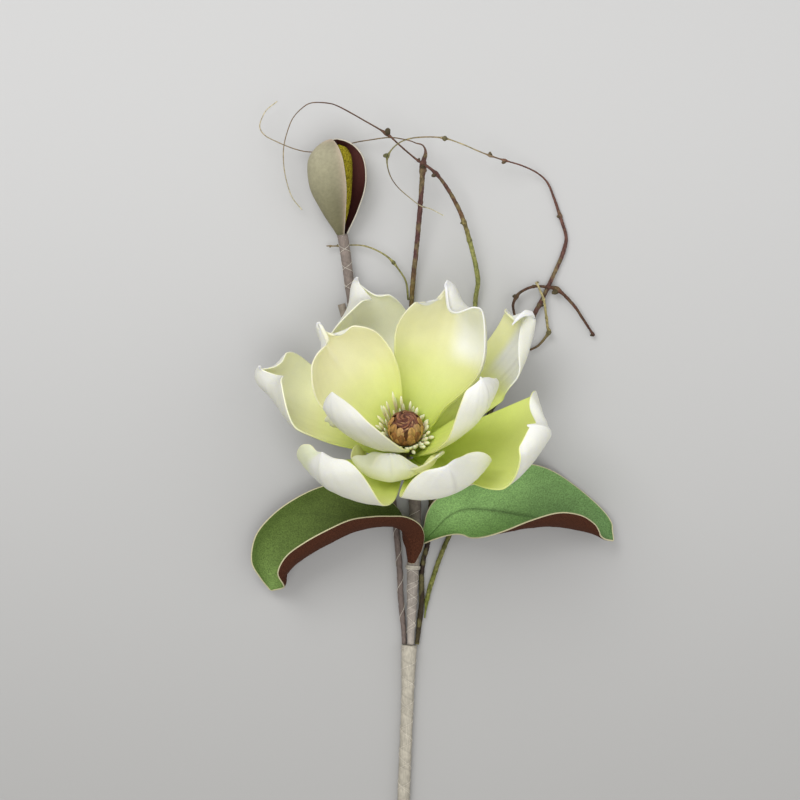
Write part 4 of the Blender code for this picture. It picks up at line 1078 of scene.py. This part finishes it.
def build_seed_cone(rng):
    """A dark ball under rings of tan scales, with brown curls over its top."""
    radius = CONE_RADIUS - DOME_INSET
    dome = [(CONE_HEIGHT + radius * cos(a), radius * sin(a)) for a in np.linspace(pi * 0.86, 0.02, 24)]
    soup = Soup()
    closed_turned(soup, dome, BLOSSOM_BASE, BLOSSOM_AXIS, (40, 40), DOME_BROWN, 0.5, 0.4)
    for ring, (polar, many, wide, long) in enumerate(SCALE_RINGS):
        for k in range(many):
            turn = 2 * pi * (k + 0.5 * ring + rng.uniform(-0.15, 0.15)) / many
            tone = srgb(*SCALE_TANS[rng.integers(len(SCALE_TANS))]) * rng.uniform(0.9, 1.12)
            scale(soup, radians(polar), turn, wide, long, 0.25 * ring + 0.3, tone, k + ring)
    for k in range(CURLS):
        polar = radians(6 + 38 * ((k + 0.5) / CURLS) ** 0.75)
        shade = CURL_BROWNS[rng.integers(len(CURL_BROWNS))]
        turn, wide, long = rng.uniform(0, 2 * pi), rng.uniform(1.0, 1.9), rng.uniform(6, 11)
        curl(soup, polar, turn, wide, long, srgb(*shade) * rng.uniform(0.85, 1.15), k)
    soup.piece("seed_cone_shavings", ["seed_cone"], [SHAVINGS])


def stamen(soup, sheets, around, reach, tall, bead, fullness, brightness):
    """A stalk that bends up through its knees to a long anther, clear of the petals."""
    knots = []
    for step, (radius, height) in enumerate((*STALK_KNEES, (reach, tall))):
        spot = np.array(BLOSSOM_BASE) + BLOSSOM_TURN @ (radius * sin(around), radius * cos(around), height)
        knots.append(clear_of_petals(spot, sheets) if step > 0 else spot)
    line = smooth_curve(knots, 26)
    run = run_along(line)
    in_bead = np.clip(1 - (run[-1] - run) / bead, 0, 1)
    thick = STALK_RADIUS + (fullness - STALK_RADIUS) * np.sin(pi * in_bead ** 0.9) ** 0.55 * (in_bead > 0)
    thick[-1] = STALK_TIP
    tube(soup, line, thick, stops(in_bead + 0.4 * run / run[-1], STAMEN_CREAM) * brightness, 10)


def build_stamens(rng, sheets):
    """Three layers of stamens on a collar; those at the top of the blossom are longer and stand higher."""
    soup = Soup()
    for layer, (many, spread_out, height, anther, fat, raised) in enumerate(STAMEN_LAYERS):
        for k in range(many):
            around = 2 * pi * (k + 0.5 * layer + rng.uniform(-0.22, 0.22)) / many
            top_side = max(0.0, cos(around + 0.5)) ** 2.5
            reach = spread_out + rng.uniform(-0.8, 0.8) + 3.5 * top_side
            tall = height + rng.uniform(-1.2, 1.2) + top_side * raised * rng.uniform(0.4, 1.0)
            bead = anther * (1 + 0.7 * top_side) * rng.uniform(0.85, 1.15)
            fullness = fat * (1 - 0.25 * top_side) * rng.uniform(0.85, 1.1)
            stamen(soup, sheets, around, reach, tall, bead, fullness, rng.uniform(0.92, 1.05))
    low = COLLAR_TOP - COLLAR_HEIGHT
    collar = [(low, 0.2), (low, COLLAR_RADIUS), (COLLAR_TOP, COLLAR_RADIUS), (COLLAR_TOP, 0.2)]
    closed_turned(soup, collar, BLOSSOM_BASE, BLOSSOM_AXIS, (24, 40), COLLAR_GREEN, 0.0)
    soup.piece("stamens_cream", ["stamens"], [CREAM])


# ---------------------------------------------------------------- small parts

KNOB_OUTLINE = ((-14, 0.3), (-14, 5.2), (-12, 5.6), (-8, 8.4), (-7.2, 8.9), (-4.6, 8.9), (-0.5, 6.8),
                (COLLAR_TOP - 1.8, 6.8), (COLLAR_TOP - 1.8, 0.3))
KNOB_GREY, STUB_GREY, TIE_CREAM = (120, 112, 98), (150, 140, 128), (196, 190, 176)
STUB_DEPTH = 8                  # of its bore
TIE_LAPS, TIE_SIDES = 5, 59
TIE_THREAD = 0.32               # radius of the thread in the leaf tie


def build_receptacle():
    soup = Soup()
    closed_turned(soup, KNOB_OUTLINE, BLOSSOM_BASE, BLOSSOM_AXIS, (60, 40), KNOB_GREY, 0.35, 0.12, 0.4)
    soup.piece("receptacle_tape", ["receptacle"], [TAPE])


def build_stem_stub():
    """A short tube, closed at its foot and bored from its top."""
    top, low = (Vector(point[:3]) for point in STEM_STUB)
    length, radius = (top - low).length, STEM_STUB[0][3]
    floor = length - STUB_DEPTH
    outline = [(0, 0.2), (0, radius - 0.3), (0.6, radius), (length * 0.5, radius - 0.1),
               (length - 0.5, radius), (length, radius - 0.3), (length, STUB_BORE + 0.2),
               (length - 0.5, STUB_BORE), (floor + 0.5, STUB_BORE), (floor, STUB_BORE - 0.3), (floor, 0.2)]
    soup = Soup()
    closed_turned(soup, outline, low, top - low, (90, 28), STUB_GREY, 0.5, 0.1)
    soup.piece("stem_stub_tape", ["stem_stub"], [TAPE])


def build_leaf_tie():
    """Turns of thread side by side round the main stem."""
    radius = MAIN_STEM[6][3] + 0.72
    turn = np.linspace(0, 2 * pi, TIE_SIDES + 1)[:-1]
    rotation = np.array(axis_rotation((0.04, 1, 0)))
    soup = Soup()
    for lap, height in enumerate(np.linspace(-1, 1, TIE_LAPS) * (LEAF_TIE_WIDTH / 2 - 0.4)):
        ring = np.stack([radius * np.cos(turn), radius * np.sin(turn), height + 0.3 * np.sin(turn + lap)], 1)
        path = ring @ rotation.T + np.array(LEAF_TIE)
        tube(soup, path, np.full(TIE_SIDES, TIE_THREAD), srgb(*TIE_CREAM), 8)
    soup.piece("leaf_tie_thread", ["leaf_tie"], [TAPE])


# ---------------------------------------------------------------- stage

# Painted light: the floor runs from its shaded colour to its lit colour toward the top of the picture, as a
# lamp's pool of light.
FLOOR_SHADED, FLOOR_LIT = (0.392, 0.389, 0.382, 1.0), (0.56, 0.56, 0.56, 1.0)
FLOOR_FADE = 0.42               # metres either side of the middle over which the floor lightens
FLOOR_CORNERS = ((-4, -4, 0), (4, -4, 0), (4, 4, 0), (-4, 4, 0))
# Lamps: name, place, watts and size
LAMPS = (("key", (-0.75, 1.15, 1.75), 22.0, 1.3), ("fill", (1.2, 0.1, 1.6), 6.5, 1.6),
         ("front", (-0.1, -0.7, 2.35), 18.0, 1.4))
LAMP_AIM = Vector((0, 0.1, 0))
SKY_COLOUR, SKY_STRENGTH = (1.0, 0.99, 0.97, 1.0), 0.50
CAMERA_PLACE, CAMERA_LENS, CAMERA_SENSOR = (-0.0279, 0.0879, 2.05), 108.0, 36.0


def add_object(name, data, place=(0, 0, 0)):
    made = bpy.data.objects.new(name, data)
    made.location = place
    bpy.context.scene.collection.objects.link(made)
    return made


def floor_look():
    """A plain floor with painted light that makes it a little lighter toward the top of the picture."""
    look = Look("floor_look", 0.9, 0.1)
    parts = look.nodes.new("ShaderNodeSeparateXYZ")
    look.links.new(look.where, parts.inputs[0])
    upward = look.nodes.new("ShaderNodeMapRange")
    upward.interpolation_type = "SMOOTHSTEP"
    upward.inputs["From Min"].default_value = -FLOOR_FADE
    upward.inputs["From Max"].default_value = FLOOR_FADE
    look.links.new(parts.outputs["Y"], upward.inputs["Value"])
    shade = look.nodes.new("ShaderNodeMix")
    shade.data_type = "RGBA"
    shade.inputs["A"].default_value = FLOOR_SHADED
    shade.inputs["B"].default_value = FLOOR_LIT
    look.links.new(upward.outputs["Result"], shade.inputs["Factor"])
    look.links.new(shade.outputs["Result"], look.inputs["Base Color"])
    return look.material


def build_stage():
    """The floor, three soft lamps, a pale sky and the camera, straight above."""
    mesh = bpy.data.meshes.new("floor")
    mesh.from_pydata(FLOOR_CORNERS, [], [(0, 1, 2, 3)])
    mesh.materials.append(floor_look())
    floor = add_object("floor", mesh)
    for name, place, power, size in LAMPS:
        light = bpy.data.lights.new(name, "AREA")
        light.energy = power
        light.size = size
        made = add_object(name, light, place)
        made.rotation_euler = (LAMP_AIM - Vector(place)).to_track_quat("-Z", "Y").to_euler()
    world = bpy.data.worlds.new("studio")
    world.use_nodes = True
    world.node_tree.nodes["Background"].inputs["Color"].default_value = SKY_COLOUR
    world.node_tree.nodes["Background"].inputs["Strength"].default_value = SKY_STRENGTH
    bpy.context.scene.world = world
    bpy.context.scene.view_settings.view_transform = "Standard"
    lens = bpy.data.cameras.new("camera")
    lens.lens = CAMERA_LENS
    lens.sensor_width = CAMERA_SENSOR
    bpy.context.scene.camera = add_object("camera", lens, CAMERA_PLACE)


build_stage()
petal_sheets = build_petals()
for leaf_name, leaf_shape in LEAVES.items():
    build_leaf(leaf_name, leaf_shape)
for stem_name, stem_shape in TAPED_STEMS.items():
    build_stem(stem_name, *stem_shape)
for twig_number, (twig_name, twig_shape) in enumerate(TWIGS.items()):
    build_twig(twig_number, twig_name, *twig_shape)
for husk in HUSKS:
    build_husk(*husk)
build_bud_core()
chance = np.random.default_rng(11)
build_seed_cone(chance)
build_stamens(chance, petal_sheets)
build_receptacle()
build_stem_stub()
build_leaf_tie()
